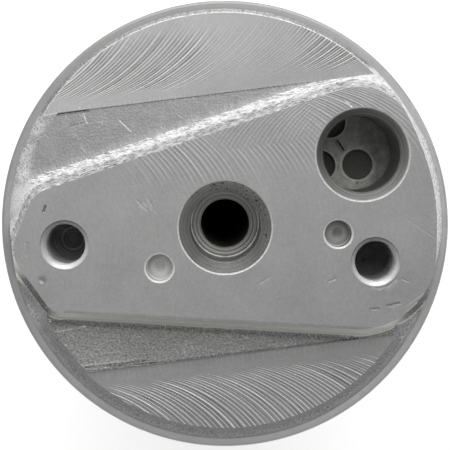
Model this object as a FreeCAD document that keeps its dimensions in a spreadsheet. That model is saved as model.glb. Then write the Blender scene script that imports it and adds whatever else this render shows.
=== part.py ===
"""Filter drier: a welded aluminium receiver with a forged and milled head.

The head carries two O-ring ports, two tapped holes for the pipe blocks and two shallow
locating holes. Refrigerant enters beside the axis, goes down through a perforated plate, a
felt and the desiccant bed, and leaves up a central pickup tube that draws through a strainer.
A spring under the lower plate keeps the bed tight. Millimetres, +Z up, origin at the middle
of the can's base, +X along the middle line of the head's raised pad, to its wide end.
"""

import FreeCAD, Part
import math
import os

import Sketcher

SIZES = {
    # The can, drawn from one slug, with a dished base.
    "can_diameter": 76.0,
    "can_length": 158.5,
    "can_wall": 2.5,
    "can_base_thickness": 4.0,
    "can_outer_corner": 7.0,
    "can_inner_corner": 4.5,
    "dish_rim_radius": 25.0,
    "dish_slope_width": 3.0,
    "dish_depth": 1.2,
    # The weld that closes the can.
    "weld_bevel": 1.2,
    "weld_crown": 0.8,
    # The head: its rim, its shoulder and its underside.
    "rim_height": 14.0,
    "rim_edge_radius": 0.6,
    "ledge_width": 1.4,
    "pad_rise": 7.5,
    "forged_depth": 4.8,
    "spigot_length": 8.0,
    "spigot_clearance": 0.1,
    "skirt_thickness": 2.2,
    "plenum_depth": 1.5,
    "plenum_radius": 30.0,
    "boss_radius": 8.0,
    # The raised pad.
    "pad_reach": 35.5,
    "upper_half_width": 15.8,
    "upper_taper_angle": 11.7,
    "upper_corner_radius": 9.5,
    "upper_nose_corner_radius": 4.5,
    "lower_half_width": 15.95,
    "lower_taper_angle": 10.3,
    "lower_corner_radius": 13.0,
    "lower_nose_corner_radius": 2.5,
    "nose_reach": 35.3,
    "nose_side_angle": 61.0,
    "nose_tip_radius": 5.5,
    "pad_draft_angle": 19.0,
    "pad_root_radius": 1.5,
    # The two milled flats beside the pad.
    "upper_flat_edge": 22.3,
    "upper_flat_depth": 6.8,
    "lower_flat_edge": 21.8,
    "lower_flat_depth": 5.3,
    # The ports.
    "port_mouth_radius": 7.7,
    "edge_break": 0.25,
    "outlet_bore_radius": 5.9,
    "outlet_cone_depth": 3.0,
    "outlet_bore_depth": 13.5,
    "outlet_step_thickness": 1.5,
    "inlet_x": 24.1,
    "inlet_y": 9.25,
    "inlet_bore_radius": 6.45,
    "inlet_cone_depth": 2.5,
    "inlet_relief_radius": 7.4,
    # The tapped holes and the locating holes.
    "tap_drill_radius": 3.4,
    "tap_drill_depth": 16.5,
    "drill_point_angle": 118.0,
    "countersink_radius": 4.1,
    "outlet_bolt_x": -26.8,
    "outlet_bolt_y": 0.4,
    "inlet_bolt_y": -8.7,
    "locating_radius": 2.25,
    "locating_depth": 3.5,
    "locating_chamfer": 0.3,
    "locating_pip_radius": 0.7,
    "locating_pip_depth": 0.5,
    "outlet_locating_x": -11.65,
    "outlet_locating_y": -5.35,
    "inlet_locating_x": 18.5,
    "inlet_locating_y": -3.35,
    # The pickup tube and its strainer.
    "tube_radius": 5.0,
    "tube_bore_radius": 4.2,
    "tube_fit": 0.05,
    "tube_end_height": 26.0,
    "strainer_radius": 7.6,
    "strainer_rib_thickness": 1.1,
    "strainer_collar_length": 8.0,
    "strainer_step_thickness": 1.5,
    "strainer_floor_clearance": 2.0,
    "strainer_cap_thickness": 1.5,
    "strainer_rib_width": 2.4,
    "strainer_ribs": 4,
    "mesh_thickness": 0.3,
    # The filter stack.
    "plate_thickness": 1.5,
    "plate_clearance": 0.3,
    "perforation_radius": 2.7,
    "outer_ring_radius": 25.6,
    "outer_ring_holes": 18,
    "outer_ring_start": 16.0,
    "middle_ring_radius": 19.6,
    "middle_ring_holes": 12,
    "middle_ring_start": 23.0,
    "inner_ring_radius": 13.6,
    "inner_ring_holes": 8,
    "inner_ring_start": 0.0,
    "tube_clearance": 0.3,
    "scrim_thickness": 0.4,
    "lower_felt_thickness": 6.0,
    # The spring.
    "spring_height": 58.0,
    "spring_mean_radius": 27.0,
    "spring_wire_radius": 1.25,
    "spring_coil_gap": 0.15,
    "spring_active_turns": 4,
    "spring_grind": 0.9,
}

doc = FreeCAD.newDocument("FilterDrier")


def make_sheet(sizes):
    """Write the driving dimensions to a spreadsheet, one named cell each."""
    sheet = doc.addObject("Spreadsheet::Sheet", "Sizes")
    for row, (name, value) in enumerate(sizes.items(), start=1):
        sheet.set(f"A{row}", name)
        sheet.set(f"B{row}", str(value))
        sheet.setAlias(f"B{row}", name)
    doc.recompute()
    return sheet


class Formula:
    """A size worked out from the sheet: its value now, and the expression that binds it."""

    def __init__(self, value, text=None):
        self.value = float(value)
        self.text = repr(self.value) if text is None else text

    def join(self, sign, other, value):
        return Formula(value, f"({self.text} {sign} {other.text})")

    def __add__(self, other):
        other = as_formula(other)
        return self.join("+", other, self.value + other.value)

    def __sub__(self, other):
        other = as_formula(other)
        return self.join("-", other, self.value - other.value)

    def __mul__(self, other):
        other = as_formula(other)
        return self.join("*", other, self.value * other.value)

    def __truediv__(self, other):
        other = as_formula(other)
        return self.join("/", other, self.value / other.value)

    def __rsub__(self, other):
        return as_formula(other) - self

    def __neg__(self):
        return Formula(-self.value, f"(-{self.text})")

    __radd__ = __add__
    __rmul__ = __mul__


def as_formula(value):
    return value if isinstance(value, Formula) else Formula(value)


def size(name):
    return Formula(getattr(sheet, name), f"Sizes.{name}")


def tangent(angle):
    return Formula(math.tan(math.radians(angle.value)), f"tan({angle.text})")


def cosine(angle):
    return Formula(math.cos(math.radians(angle.value)), f"cos({angle.text})")


def sine(angle):
    return Formula(math.sin(math.radians(angle.value)), f"sin({angle.text})")


def bind(item, path, formula):
    """Set a property and keep it bound to the sheet."""
    item.setExpression(path, as_formula(formula).text)


sheet = make_sheet(SIZES)

can_radius = size("can_diameter") / 2
can_bore_radius = can_radius - size("can_wall")
mouth_height = size("can_length")
head_height = mouth_height + size("rim_height") + size("pad_rise")
ledge_depth = size("pad_rise")
mouth_depth = size("pad_rise") + size("rim_height")
web_depth = mouth_depth - size("plenum_depth")
spigot_radius = can_bore_radius - size("spigot_clearance")
skirt_bore_radius = spigot_radius - size("skirt_thickness")
ledge_radius = can_radius - size("ledge_width")
socket_depth = size("outlet_bore_depth") + size("outlet_step_thickness")
socket_radius = size("tube_radius") + size("tube_fit")
tube_hole_radius = size("tube_radius") + size("tube_clearance")
bed_radius = can_bore_radius - size("plate_clearance")
upper_felt_thickness = size("spigot_length") - size("plate_thickness")
strainer_floor_height = size("can_base_thickness") + size("strainer_floor_clearance")
strainer_window_end = size("tube_end_height") - size("strainer_step_thickness")
strainer_window = strainer_window_end - size("strainer_cap_thickness") - strainer_floor_height
lower_plate_height = size("can_base_thickness") + size("spring_height")
lower_felt_height = lower_plate_height + size("plate_thickness")
lower_scrim_height = lower_felt_height + size("lower_felt_thickness")
bed_height = lower_scrim_height + size("scrim_thickness")
upper_felt_height = mouth_height - size("spigot_length")
upper_scrim_height = upper_felt_height - size("scrim_thickness")


def new_body(label, height=0.0):
    """Start a piece with its own name, standing at a height above the can's base."""
    body = doc.addObject("PartDesign::Body", label)
    body.Label = label
    bind(body, "Placement.Base.z", height)
    return body


def new_sketch(body, name, role, x=0.0, y=0.0, height=0.0):
    """Put a sketch on one of the body's own planes, with its origin moved to a point."""
    plane = next(item for item in body.Origin.OriginFeatures if item.Role == role)
    sketch = body.newObject("Sketcher::SketchObject", name)
    sketch.AttachmentSupport = [(plane, "")]
    sketch.MapMode = "FlatFace"
    offset = {"x": x, "y": y, "z": height}
    if role == "XZ_Plane":
        offset = {"x": x, "y": height, "z": -as_formula(y)}
    for axis, shift in offset.items():
        bind(sketch, f"AttachmentOffset.Base.{axis}", shift)
    return sketch


def pin_point(sketch, edge, end, x, y):
    """Fix an end of a sketch edge at a point measured from the sketch's origin."""
    for kind, along, axis in (("DistanceX", x, -2), ("DistanceY", y, -1)):
        if along.text == "0.0":
            sketch.addConstraint(Sketcher.Constraint("PointOnObject", edge, end, axis))
        else:
            number = sketch.addConstraint(
                Sketcher.Constraint(kind, -1, 1, edge, end, along.value)
            )
            bind(sketch, f"Constraints[{number}]", along)


def arc_between(start, finish, radius, turn):
    """The arc of a radius from one point to another, turning left (1) or right (-1)."""
    middle = (start + finish) * 0.5
    chord = finish - start
    side = FreeCAD.Vector(-chord.y, chord.x, 0).normalize() * turn
    centre = middle + side * math.sqrt(radius**2 - (chord.Length / 2) ** 2)
    first, last = (start, finish) if turn > 0 else (finish, start)
    angles = [math.atan2(p.y - centre.y, p.x - centre.x) for p in (first, last)]
    circle = Part.Circle(centre, FreeCAD.Vector(0, 0, 1), radius)
    return Part.ArcOfCircle(circle, *angles)


def draw_outline(sketch, corners):
    """Draw a closed outline through corners given as (x, y), or as (x, y, radius, turn)
    where the side that leads to the corner is an arc."""
    points = [tuple(as_formula(v) for v in corner[:2]) for corner in corners]
    arcs = [corner[2:] for corner in corners]
    places = [FreeCAD.Vector(x.value, y.value, 0) for x, y in points]
    ends = []
    for i, arc in enumerate(arcs):
        start, finish = places[i - 1], places[i]
        if arc:
            radius, turn = as_formula(arc[0]), arc[1]
            edge = sketch.addGeometry(arc_between(start, finish, radius.value, turn))
            number = sketch.addConstraint(
                Sketcher.Constraint("Radius", edge, radius.value)
            )
            bind(sketch, f"Constraints[{number}]", radius)
            ends.append((edge, 1, 2) if turn > 0 else (edge, 2, 1))
        else:
            edge = sketch.addGeometry(Part.LineSegment(start, finish))
            ends.append((edge, 1, 2))
    for (edge, _, finish), (following, start, _), (x, y) in zip(
        ends, ends[1:] + ends[:1], points
    ):
        sketch.addConstraint(
            Sketcher.Constraint("Coincident", edge, finish, following, start)
        )
        pin_point(sketch, edge, finish, x, y)


def draw_circle(sketch, x, y, radius):
    x, y, radius = (as_formula(v) for v in (x, y, radius))
    centre = FreeCAD.Vector(x.value, y.value, 0)
    circle = Part.Circle(centre, FreeCAD.Vector(0, 0, 1), radius.value)
    edge = sketch.addGeometry(circle)
    number = sketch.addConstraint(Sketcher.Constraint("Radius", edge, radius.value))
    bind(sketch, f"Constraints[{number}]", radius)
    pin_point(sketch, edge, 3, x, y)


def turned(body, name, corners, cut=False, x=0.0, y=0.0):
    """Turn an outline of (radius, height) corners about a vertical line at (x, y)."""
    sketch = new_sketch(body, f"{name}Profile", "XZ_Plane", x, y)
    draw_outline(sketch, corners)
    kind = "PartDesign::Groove" if cut else "PartDesign::Revolution"
    feature = body.newObject(kind, name)
    feature.Profile = sketch
    feature.ReferenceAxis = (sketch, ["V_Axis"])
    feature.Angle = 360
    sketch.Visibility = False
    return feature


def raised(body, name, sketch, length):
    feature = body.newObject("PartDesign::Pad", name)
    feature.Profile = sketch
    bind(feature, "Length", length)
    return feature


def sunk(body, name, sketch, length):
    """Cut a sketch downwards, towards -Z."""
    feature = body.newObject("PartDesign::Pocket", name)
    feature.Profile = sketch
    bind(feature, "Length", length)
    return feature


def ring_pattern(body, name, feature, axis_sketch, count):
    """Repeat a cut round the body's vertical axis."""
    pattern = body.newObject("PartDesign::PolarPattern", name)
    pattern.Originals = [feature]
    pattern.Axis = axis_sketch
    pattern.Angle = 360
    bind(pattern, "Occurrences", count)
    body.Tip = pattern
    return pattern


def collar(label, height, bore, radius, length):
    """A plain ring piece of a length, standing at a height."""
    body = new_body(label, height)
    turned(body, "Ring", [(bore, 0), (radius, 0), (radius, length), (bore, length)])
    return body


def build_can():
    body = new_body("can")
    corner = size("can_outer_corner")
    inner_corner = size("can_inner_corner")
    base = size("can_base_thickness")
    bevel = size("weld_bevel")
    slope_radius = size("dish_rim_radius") - size("dish_slope_width")
    outline = [
        (0, size("dish_depth")),
        (slope_radius, size("dish_depth")),
        (size("dish_rim_radius"), 0),
        (can_radius - corner, 0),
        (can_radius, corner, corner, 1),
        (can_radius, mouth_height - bevel),
        (can_radius - bevel, mouth_height),
        (can_bore_radius, mouth_height),
        (can_bore_radius, base + inner_corner),
        (can_bore_radius - inner_corner, base, inner_corner, -1),
        (0, base),
    ]
    turned(body, "Shell", outline)
    return body


def build_weld():
    body = new_body("head_weld", mouth_height)
    bevel = size("weld_bevel")
    crown = size("weld_crown")
    crown_radius = (bevel * bevel + crown * crown) / (crown * 2)
    outline = [
        (can_radius - bevel, 0),
        (can_radius, -bevel),
        (can_radius, bevel, crown_radius, 1),
    ]
    turned(body, "Bead", outline)
    return body


def along(direction, distance):
    return FreeCAD.Vector(*direction, 0) * distance


def half_outline(half):
    """Where one half of the pad's outline changes from side to side, from the reach arc to the
    nose, with the radius of each side's arc. The lower half is given as if it were above."""
    values = {name: size(name).value for name in SIZES}
    taper = math.radians(values[f"{half}_taper_angle"])
    side = math.radians(values["nose_side_angle"])
    reach, corner = values["pad_reach"], values[f"{half}_corner_radius"]
    tip_radius, nose_corner = values["nose_tip_radius"], values[f"{half}_nose_corner_radius"]
    edge_way = (math.cos(taper), math.sin(taper))
    edge_out = (-math.sin(taper), math.cos(taper))
    side_out = (-math.sin(side), math.cos(side))
    edge_distance = values[f"{half}_half_width"] * math.cos(taper)
    inset = edge_distance - corner
    corner_centre = along(edge_out, inset) + along(
        edge_way, math.sqrt((reach - corner) ** 2 - inset**2)
    )
    tip = FreeCAD.Vector(tip_radius - values["nose_reach"], 0, 0)
    from_edge = edge_distance - nose_corner
    from_side = tip_radius - nose_corner + tip.x * side_out[0]
    spread = edge_out[0] * side_out[1] - edge_out[1] * side_out[0]
    nose_centre = FreeCAD.Vector(
        (from_edge * side_out[1] - from_side * edge_out[1]) / spread,
        (from_side * edge_out[0] - from_edge * side_out[0]) / spread,
        0,
    )
    points = [
        corner_centre * (reach / (reach - corner)),
        corner_centre + along(edge_out, corner),
        nose_centre + along(edge_out, nose_corner),
        nose_centre + along(side_out, nose_corner),
        tip + along(side_out, tip_radius),
    ]
    return points, [reach, corner, None, nose_corner, None, tip_radius]


def draw_pad_outline(sketch):
    """The pad's outline: a tapering plate with a rounded wide end and a pointed nose."""
    upper, upper_radii = half_outline("upper")
    lower, lower_radii = half_outline("lower")
    corners = upper + [FreeCAD.Vector(p.x, -p.y, 0) for p in reversed(lower)]
    radii = upper_radii + lower_radii[-2:0:-1]
    ends = []
    for i, radius in enumerate(radii):
        start, finish = corners[i - 1], corners[i]
        if radius:
            shape = arc_between(start, finish, radius, 1)
            ends.append((sketch.addGeometry(shape), 1, 2))
        elif start.x < finish.x:
            ends.append((sketch.addGeometry(Part.LineSegment(start, finish)), 1, 2))
        else:
            ends.append((sketch.addGeometry(Part.LineSegment(finish, start)), 2, 1))
    for (edge, _, finish), (following, start, _) in zip(ends, ends[1:] + ends[:1]):
        joint = Sketcher.Constraint("Tangent", edge, finish, following, start)
        sketch.addConstraint(joint)
    names = ["reach", "corner", "edge", "nose_corner", "side", "tip"]
    first = {name: ends[i][0] for i, name in enumerate(names)}
    second = {name: ends[-i][0] for i, name in enumerate(names)}

    def fix(formula, *constraint):
        number = sketch.addConstraint(Sketcher.Constraint(*constraint, formula.value))
        bind(sketch, f"Constraints[{number}]", formula)

    sketch.addConstraint(Sketcher.Constraint("Coincident", first["reach"], 3, -1, 1))
    sketch.addConstraint(Sketcher.Constraint("PointOnObject", first["tip"], 3, -1))
    tip_place = size("nose_tip_radius") - size("nose_reach")
    fix(tip_place, "DistanceX", -1, 1, first["tip"], 3)
    fix(size("pad_reach"), "Radius", first["reach"])
    fix(size("nose_tip_radius"), "Radius", first["tip"])
    for side, half, sign in (("upper", first, 1), ("lower", second, -1)):
        taper = size(f"{side}_taper_angle")
        fix(size(f"{side}_corner_radius"), "Radius", half["corner"])
        fix(size(f"{side}_nose_corner_radius"), "Radius", half["nose_corner"])
        fix(size(f"{side}_half_width") * cosine(taper), "Distance", -1, 1, half["edge"])
        fix(taper * sign, "Angle", half["edge"])
        fix(size("nose_side_angle") * sign, "Angle", half["side"])


def foot_edges(shape):
    """The edges of the pad's foot, inside the rim of the flat forged level."""
    depth = size("forged_depth").value
    rim = can_radius.value + size("pad_rise").value
    names = []
    for number, edge in enumerate(shape.Edges, start=1):
        box = edge.BoundBox
        level = max(abs(box.ZMin + depth), abs(box.ZMax + depth)) < 1e-4
        if level and math.hypot(*edge.Vertexes[0].Point[:2]) < rim - 1e-3:
            names.append(f"Edge{number}")
    return names


def raise_pad(body):
    """The pad's column, widening by its draft from its face down to the ledge."""
    outline = new_sketch(body, "PadOutline", "XY_Plane")
    draw_pad_outline(outline)
    column = raised(body, "PadColumn", outline, size("pad_rise"))
    column.Reversed = True
    doc.recompute()
    walls = [
        f"Face{number}"
        for number, face in enumerate(column.Shape.Faces, start=1)
        if face.BoundBox.ZLength > size("pad_rise").value / 2
    ]
    draft = body.newObject("PartDesign::Draft", "PadWalls")
    draft.Base = (column, walls)
    face_plane = next(item for item in body.Origin.OriginFeatures if item.Role == "XY_Plane")
    draft.NeutralPlane = (face_plane, [""])
    bind(draft, "Angle", size("pad_draft_angle"))
    body.Tip = draft


def build_head():
    """The head, drawn from its pad's face at height 0 downwards. The forged flange is first
    left wide enough for the pad's whole foot, and then turned down to the shoulder, which
    the pad's two ends overhang as far as the ledge."""
    body = new_body("head", head_height)
    raise_pad(body)
    flange_radius = can_radius + size("pad_rise")
    bevel = size("weld_bevel")
    rim_edge = size("rim_edge_radius")
    skirt_end = mouth_depth + size("spigot_length")
    blank = [
        (0, -size("forged_depth")),
        (0, -mouth_depth),
        (size("boss_radius"), -mouth_depth),
        (size("boss_radius"), -web_depth),
        (size("plenum_radius"), -web_depth),
        (size("plenum_radius"), -mouth_depth),
        (skirt_bore_radius, -mouth_depth),
        (skirt_bore_radius, -skirt_end),
        (spigot_radius, -skirt_end),
        (spigot_radius, -mouth_depth),
        (can_radius - bevel, -mouth_depth),
        (can_radius, bevel - mouth_depth),
        (can_radius, -(ledge_depth + rim_edge)),
        (can_radius - rim_edge, -ledge_depth, rim_edge, 1),
        (flange_radius, -ledge_depth),
        (flange_radius, -size("forged_depth")),
    ]
    stock = turned(body, "Blank", blank)
    doc.recompute()
    root = body.newObject("PartDesign::Fillet", "PadRoot")
    root.Base = (stock, foot_edges(stock.Shape))
    bind(root, "Radius", size("pad_root_radius"))

    shoulder = [
        (ledge_radius - ledge_depth, 0),
        (ledge_radius, -ledge_depth),
        (flange_radius, -ledge_depth),
        (flange_radius, 0),
    ]
    turned(body, "Shoulder", shoulder, cut=True)
    ends_body = new_body("pad_ends")
    raise_pad(ends_body)
    join = body.newObject("PartDesign::Boolean", "PadEnds")
    join.Type = "Fuse"
    join.addObjects([ends_body])
    ends = [
        (size("pad_reach"), 0),
        (ledge_radius, -ledge_depth),
        (flange_radius, -ledge_depth),
        (flange_radius, 0),
    ]
    turned(body, "PadEndTrim", ends, cut=True)

    for name, side in (("upper", 1), ("lower", -1)):
        near = size(f"{name}_flat_edge") * side
        far = can_radius * side
        flat = new_sketch(body, f"{name.title()}FlatOutline", "XY_Plane")
        low, high = (near, far) if side > 0 else (far, near)
        corners = [
            (-can_radius, low),
            (can_radius, low),
            (can_radius, high),
            (-can_radius, high),
        ]
        draw_outline(flat, corners)
        sunk(body, f"{name.title()}Flat", flat, size(f"{name}_flat_depth"))

    mouth = size("port_mouth_radius")
    lip = size("edge_break")
    outlet = [
        (0, 0),
        (0, -mouth_depth),
        (socket_radius, -mouth_depth),
        (socket_radius, -socket_depth),
        (size("tube_bore_radius"), -socket_depth),
        (size("tube_bore_radius"), -size("outlet_bore_depth")),
        (size("outlet_bore_radius"), -size("outlet_bore_depth")),
        (size("outlet_bore_radius"), -size("outlet_cone_depth")),
        (mouth, -lip),
        (mouth + lip, 0),
    ]
    turned(body, "OutletPort", outlet, cut=True)
    inlet = [
        (0, 0),
        (0, -mouth_depth),
        (size("inlet_relief_radius"), -mouth_depth),
        (size("inlet_relief_radius"), -web_depth),
        (size("inlet_bore_radius"), -web_depth),
        (size("inlet_bore_radius"), -size("inlet_cone_depth")),
        (mouth, -lip),
        (mouth + lip, 0),
    ]
    turned(body, "InletPort", inlet, True, size("inlet_x"), size("inlet_y"))

    drill = size("tap_drill_radius")
    sink = size("countersink_radius")
    drilled = size("tap_drill_depth")
    tapped = [
        (0, 0),
        (0, -(drilled + drill / tangent(size("drill_point_angle") / 2))),
        (drill, -drilled),
        (drill, drill - sink),
        (sink, 0),
    ]
    turned(body, "OutletBoltHole", tapped, True, size("outlet_bolt_x"), size("outlet_bolt_y"))
    turned(body, "InletBoltHole", tapped, True, size("inlet_x"), size("inlet_bolt_y"))

    locating = size("locating_radius")
    chamfer = size("locating_chamfer")
    depth = size("locating_depth")
    spot = [
        (0, 0),
        (0, -(depth + size("locating_pip_depth"))),
        (size("locating_pip_radius"), -depth),
        (locating, -depth),
        (locating, -chamfer),
        (locating + chamfer, 0),
    ]
    for name in ("outlet", "inlet"):
        x = size(f"{name}_locating_x")
        y = size(f"{name}_locating_y")
        turned(body, f"{name.title()}LocatingHole", spot, True, x, y)
    return body


def build_pickup_tube():
    start = size("tube_end_height")
    length = head_height - socket_depth - start
    bore = size("tube_bore_radius")
    return collar("pickup_tube", start, bore, size("tube_radius"), length)


def build_plate(label, height, radius):
    """A flat disc with a hole for the tube and three rings of perforations."""
    body = new_body(label, height)
    disc = new_sketch(body, "DiscOutline", "XY_Plane")
    draw_circle(disc, 0, 0, radius)
    draw_circle(disc, 0, 0, tube_hole_radius)
    raised(body, "Disc", disc, size("plate_thickness"))
    for ring in ("outer", "middle", "inner"):
        title = ring.title()
        start = size(f"{ring}_ring_start")
        place = size(f"{ring}_ring_radius")
        hole = new_sketch(body, f"{title}HoleOutline", "XY_Plane")
        bind(hole, "AttachmentOffset.Base.z", size("plate_thickness"))
        draw_circle(hole, place * cosine(start), place * sine(start), size("perforation_radius"))
        cut = sunk(body, f"{title}Hole", hole, size("plate_thickness"))
        ring_pattern(body, f"{title}Ring", cut, (disc, ["N_Axis"]), size(f"{ring}_ring_holes"))
    return body


def build_strainer_cage():
    """A moulded sleeve that grips the tube's end, with windows between ribs below it."""
    radius = size("strainer_radius")
    cap = size("strainer_cap_thickness")
    window = strainer_window
    step = cap + window + size("strainer_step_thickness")
    length = step + size("strainer_collar_length")
    inner = radius - size("strainer_rib_thickness")
    body = new_body("strainer_cage", strainer_floor_height)
    outline = [
        (0, 0),
        (radius, 0),
        (radius, length),
        (socket_radius, length),
        (socket_radius, step),
        (size("tube_bore_radius"), step),
        (size("tube_bore_radius"), cap + window),
        (inner, cap + window),
        (inner, cap),
        (0, cap),
    ]
    turned(body, "Sleeve", outline)
    outside = radius + size("strainer_rib_thickness")
    opening = [(inner, cap), (outside, cap), (outside, cap + window), (inner, cap + window)]
    cut = turned(body, "Window", opening, cut=True)
    rib_angle = size("strainer_rib_width") / radius * math.degrees(1)
    bind(cut, "Angle", as_formula(360) / size("strainer_ribs") - rib_angle)
    ring_pattern(body, "Windows", cut, (cut.Profile[0], ["V_Axis"]), size("strainer_ribs"))
    return body


def build_strainer_mesh():
    outer = size("strainer_radius") - size("strainer_rib_thickness")
    bore = outer - size("mesh_thickness")
    height = strainer_window_end - strainer_window
    return collar("strainer_mesh", height, bore, outer, strainer_window)


def tangent_arc(first, corner, last):
    """The arc that leaves one point towards a corner and reaches the other from it. The
    corner is as far from the one as from the other."""
    middle = (first + last) * 0.5
    half = (last - first).Length / 2
    rise = (corner - middle).Length
    radius = (corner - first).Length * half / rise
    crest = middle + (corner - middle) * ((radius - math.sqrt(radius**2 - half**2)) / rise)
    return Part.Arc(first, crest, last).toShape()


def arc_pair(first, leaving, last, arriving):
    """Two arcs, tangent where they meet, between points with given unit tangents."""
    across = last - first
    both = leaving + arriving
    share = across.dot(both)
    bend = 2 * (leaving.dot(arriving) - 1)
    length = (share - math.sqrt(share**2 - bend * across.dot(across))) / bend
    corners = first + leaving * length, last - arriving * length
    joint = (corners[0] + corners[1]) * 0.5
    return [tangent_arc(first, corners[0], joint), tangent_arc(joint, corners[1], last)]


def coil_path(centre, heights, steps):
    """A line of tangent arcs that winds about the Z axis through heights, some to a turn."""
    step = 2 * math.pi / steps
    places, ways = [], []
    for i, height in enumerate(heights):
        before, after = max(i - 1, 0), min(i + 1, len(heights) - 1)
        climb = (heights[after] - heights[before]) / ((after - before) * step)
        cos, sin = math.cos(i * step), math.sin(i * step)
        places.append(FreeCAD.Vector(centre * cos, centre * sin, height))
        ways.append(FreeCAD.Vector(-centre * sin, centre * cos, climb).normalize())
    edges = []
    for i in range(len(places) - 1):
        edges += arc_pair(places[i], ways[i], places[i + 1], ways[i + 1])
    return Part.Wire(edges), Part.Circle(places[0], ways[0], 1)


def build_spring():
    """A compression spring: a closed coil at each end, ground flat, and open coils between."""
    steps = 4
    wire = size("spring_wire_radius").value
    centre = size("spring_mean_radius").value
    height = size("spring_height").value
    closed = wire * 2 + size("spring_coil_gap").value
    heights = [wire - size("spring_grind").value]
    active = height - (heights[0] + closed) * 2
    for turns, rise in ((1, closed), (sheet.spring_active_turns, active), (1, closed)):
        count = round(turns * steps)
        heights += [heights[-1] + rise * (i + 1) / count for i in range(count)]
    path, section = coil_path(centre, heights, steps)
    section.Radius = wire
    coil = path.makePipe(Part.Face(Part.Wire(section.toShape())))
    reach = centre + wire * 2
    waste = Part.makeCylinder(reach, wire * 4)
    for level in (-wire * 4, height):
        coil = coil.cut(waste.translated(FreeCAD.Vector(0, 0, level)))
    spring = doc.addObject("Part::Feature", "spring")
    spring.Shape = coil.Solids[0]
    bind(spring, "Placement.Base.z", size("can_base_thickness"))
    return spring


inner_radius = skirt_bore_radius - size("plate_clearance")
bed_length = upper_scrim_height - bed_height
scrim = size("scrim_thickness")
pieces = [
    build_can(),
    build_head(),
    build_weld(),
    build_pickup_tube(),
    build_strainer_cage(),
    build_strainer_mesh(),
    build_plate("upper_plate", mouth_height - size("plate_thickness"), inner_radius),
    collar("upper_felt", upper_felt_height, tube_hole_radius, inner_radius, upper_felt_thickness),
    collar("upper_scrim", upper_scrim_height, tube_hole_radius, bed_radius, scrim),
    collar("desiccant_bed", bed_height, tube_hole_radius, bed_radius, bed_length),
    collar("lower_scrim", lower_scrim_height, tube_hole_radius, bed_radius, scrim),
    collar("lower_felt", lower_felt_height, tube_hole_radius, bed_radius, size("lower_felt_thickness")),
    build_plate("lower_plate", lower_plate_height, bed_radius),
    build_spring(),
]

doc.recompute()
for item in doc.Objects:
    if "Invalid" in item.State or "Error" in item.State:
        raise RuntimeError(f"{item.Label} did not build: {item.State}")
for piece in pieces:
    if piece.Shape.isNull() or not piece.Shape.isValid():
        raise RuntimeError(f"{piece.Label} has no sound solid")
os.makedirs("parts", exist_ok=True)
for piece in pieces:
    piece.Shape.exportStep(f"parts/{piece.Label}.step")
    print(piece.Label, len(piece.Shape.Solids), round(piece.Shape.Volume, 1))
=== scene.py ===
"""Filter drier, dressed for a picture taken straight onto its head.

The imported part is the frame. The head, its weld and the tapped holes are rebuilt here as finer
meshes with their tool marks and knocks, and every other piece keeps its solid and gets a finish.
Sizes are millimetres in the part's own frame, and the meshes are handed over in metres.
"""

import logging
import math
from dataclasses import KW_ONLY, dataclass, field
from enum import Enum

import bmesh
import bpy
from mathutils import Matrix, Vector, noise
from mathutils.kdtree import KDTree

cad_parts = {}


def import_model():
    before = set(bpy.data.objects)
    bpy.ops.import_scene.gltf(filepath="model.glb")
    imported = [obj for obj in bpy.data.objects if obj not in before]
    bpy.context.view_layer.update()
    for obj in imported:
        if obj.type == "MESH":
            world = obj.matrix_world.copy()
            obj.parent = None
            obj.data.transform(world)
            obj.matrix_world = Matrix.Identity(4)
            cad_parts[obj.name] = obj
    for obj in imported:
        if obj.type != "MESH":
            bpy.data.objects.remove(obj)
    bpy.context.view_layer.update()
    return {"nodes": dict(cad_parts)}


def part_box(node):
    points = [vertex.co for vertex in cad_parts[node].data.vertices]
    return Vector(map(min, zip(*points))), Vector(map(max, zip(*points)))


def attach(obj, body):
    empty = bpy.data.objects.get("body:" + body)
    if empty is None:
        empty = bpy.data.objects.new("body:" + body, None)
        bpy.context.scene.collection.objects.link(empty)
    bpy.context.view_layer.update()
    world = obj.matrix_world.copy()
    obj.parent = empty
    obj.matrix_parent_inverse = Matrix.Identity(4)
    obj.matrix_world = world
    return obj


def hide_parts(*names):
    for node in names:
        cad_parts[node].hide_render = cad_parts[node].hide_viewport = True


LOG = logging.getLogger("filter_drier")

MM = 0.001
# The brightest that a grey may get.
LIGHTEST = 0.95

Number = float | int


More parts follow.
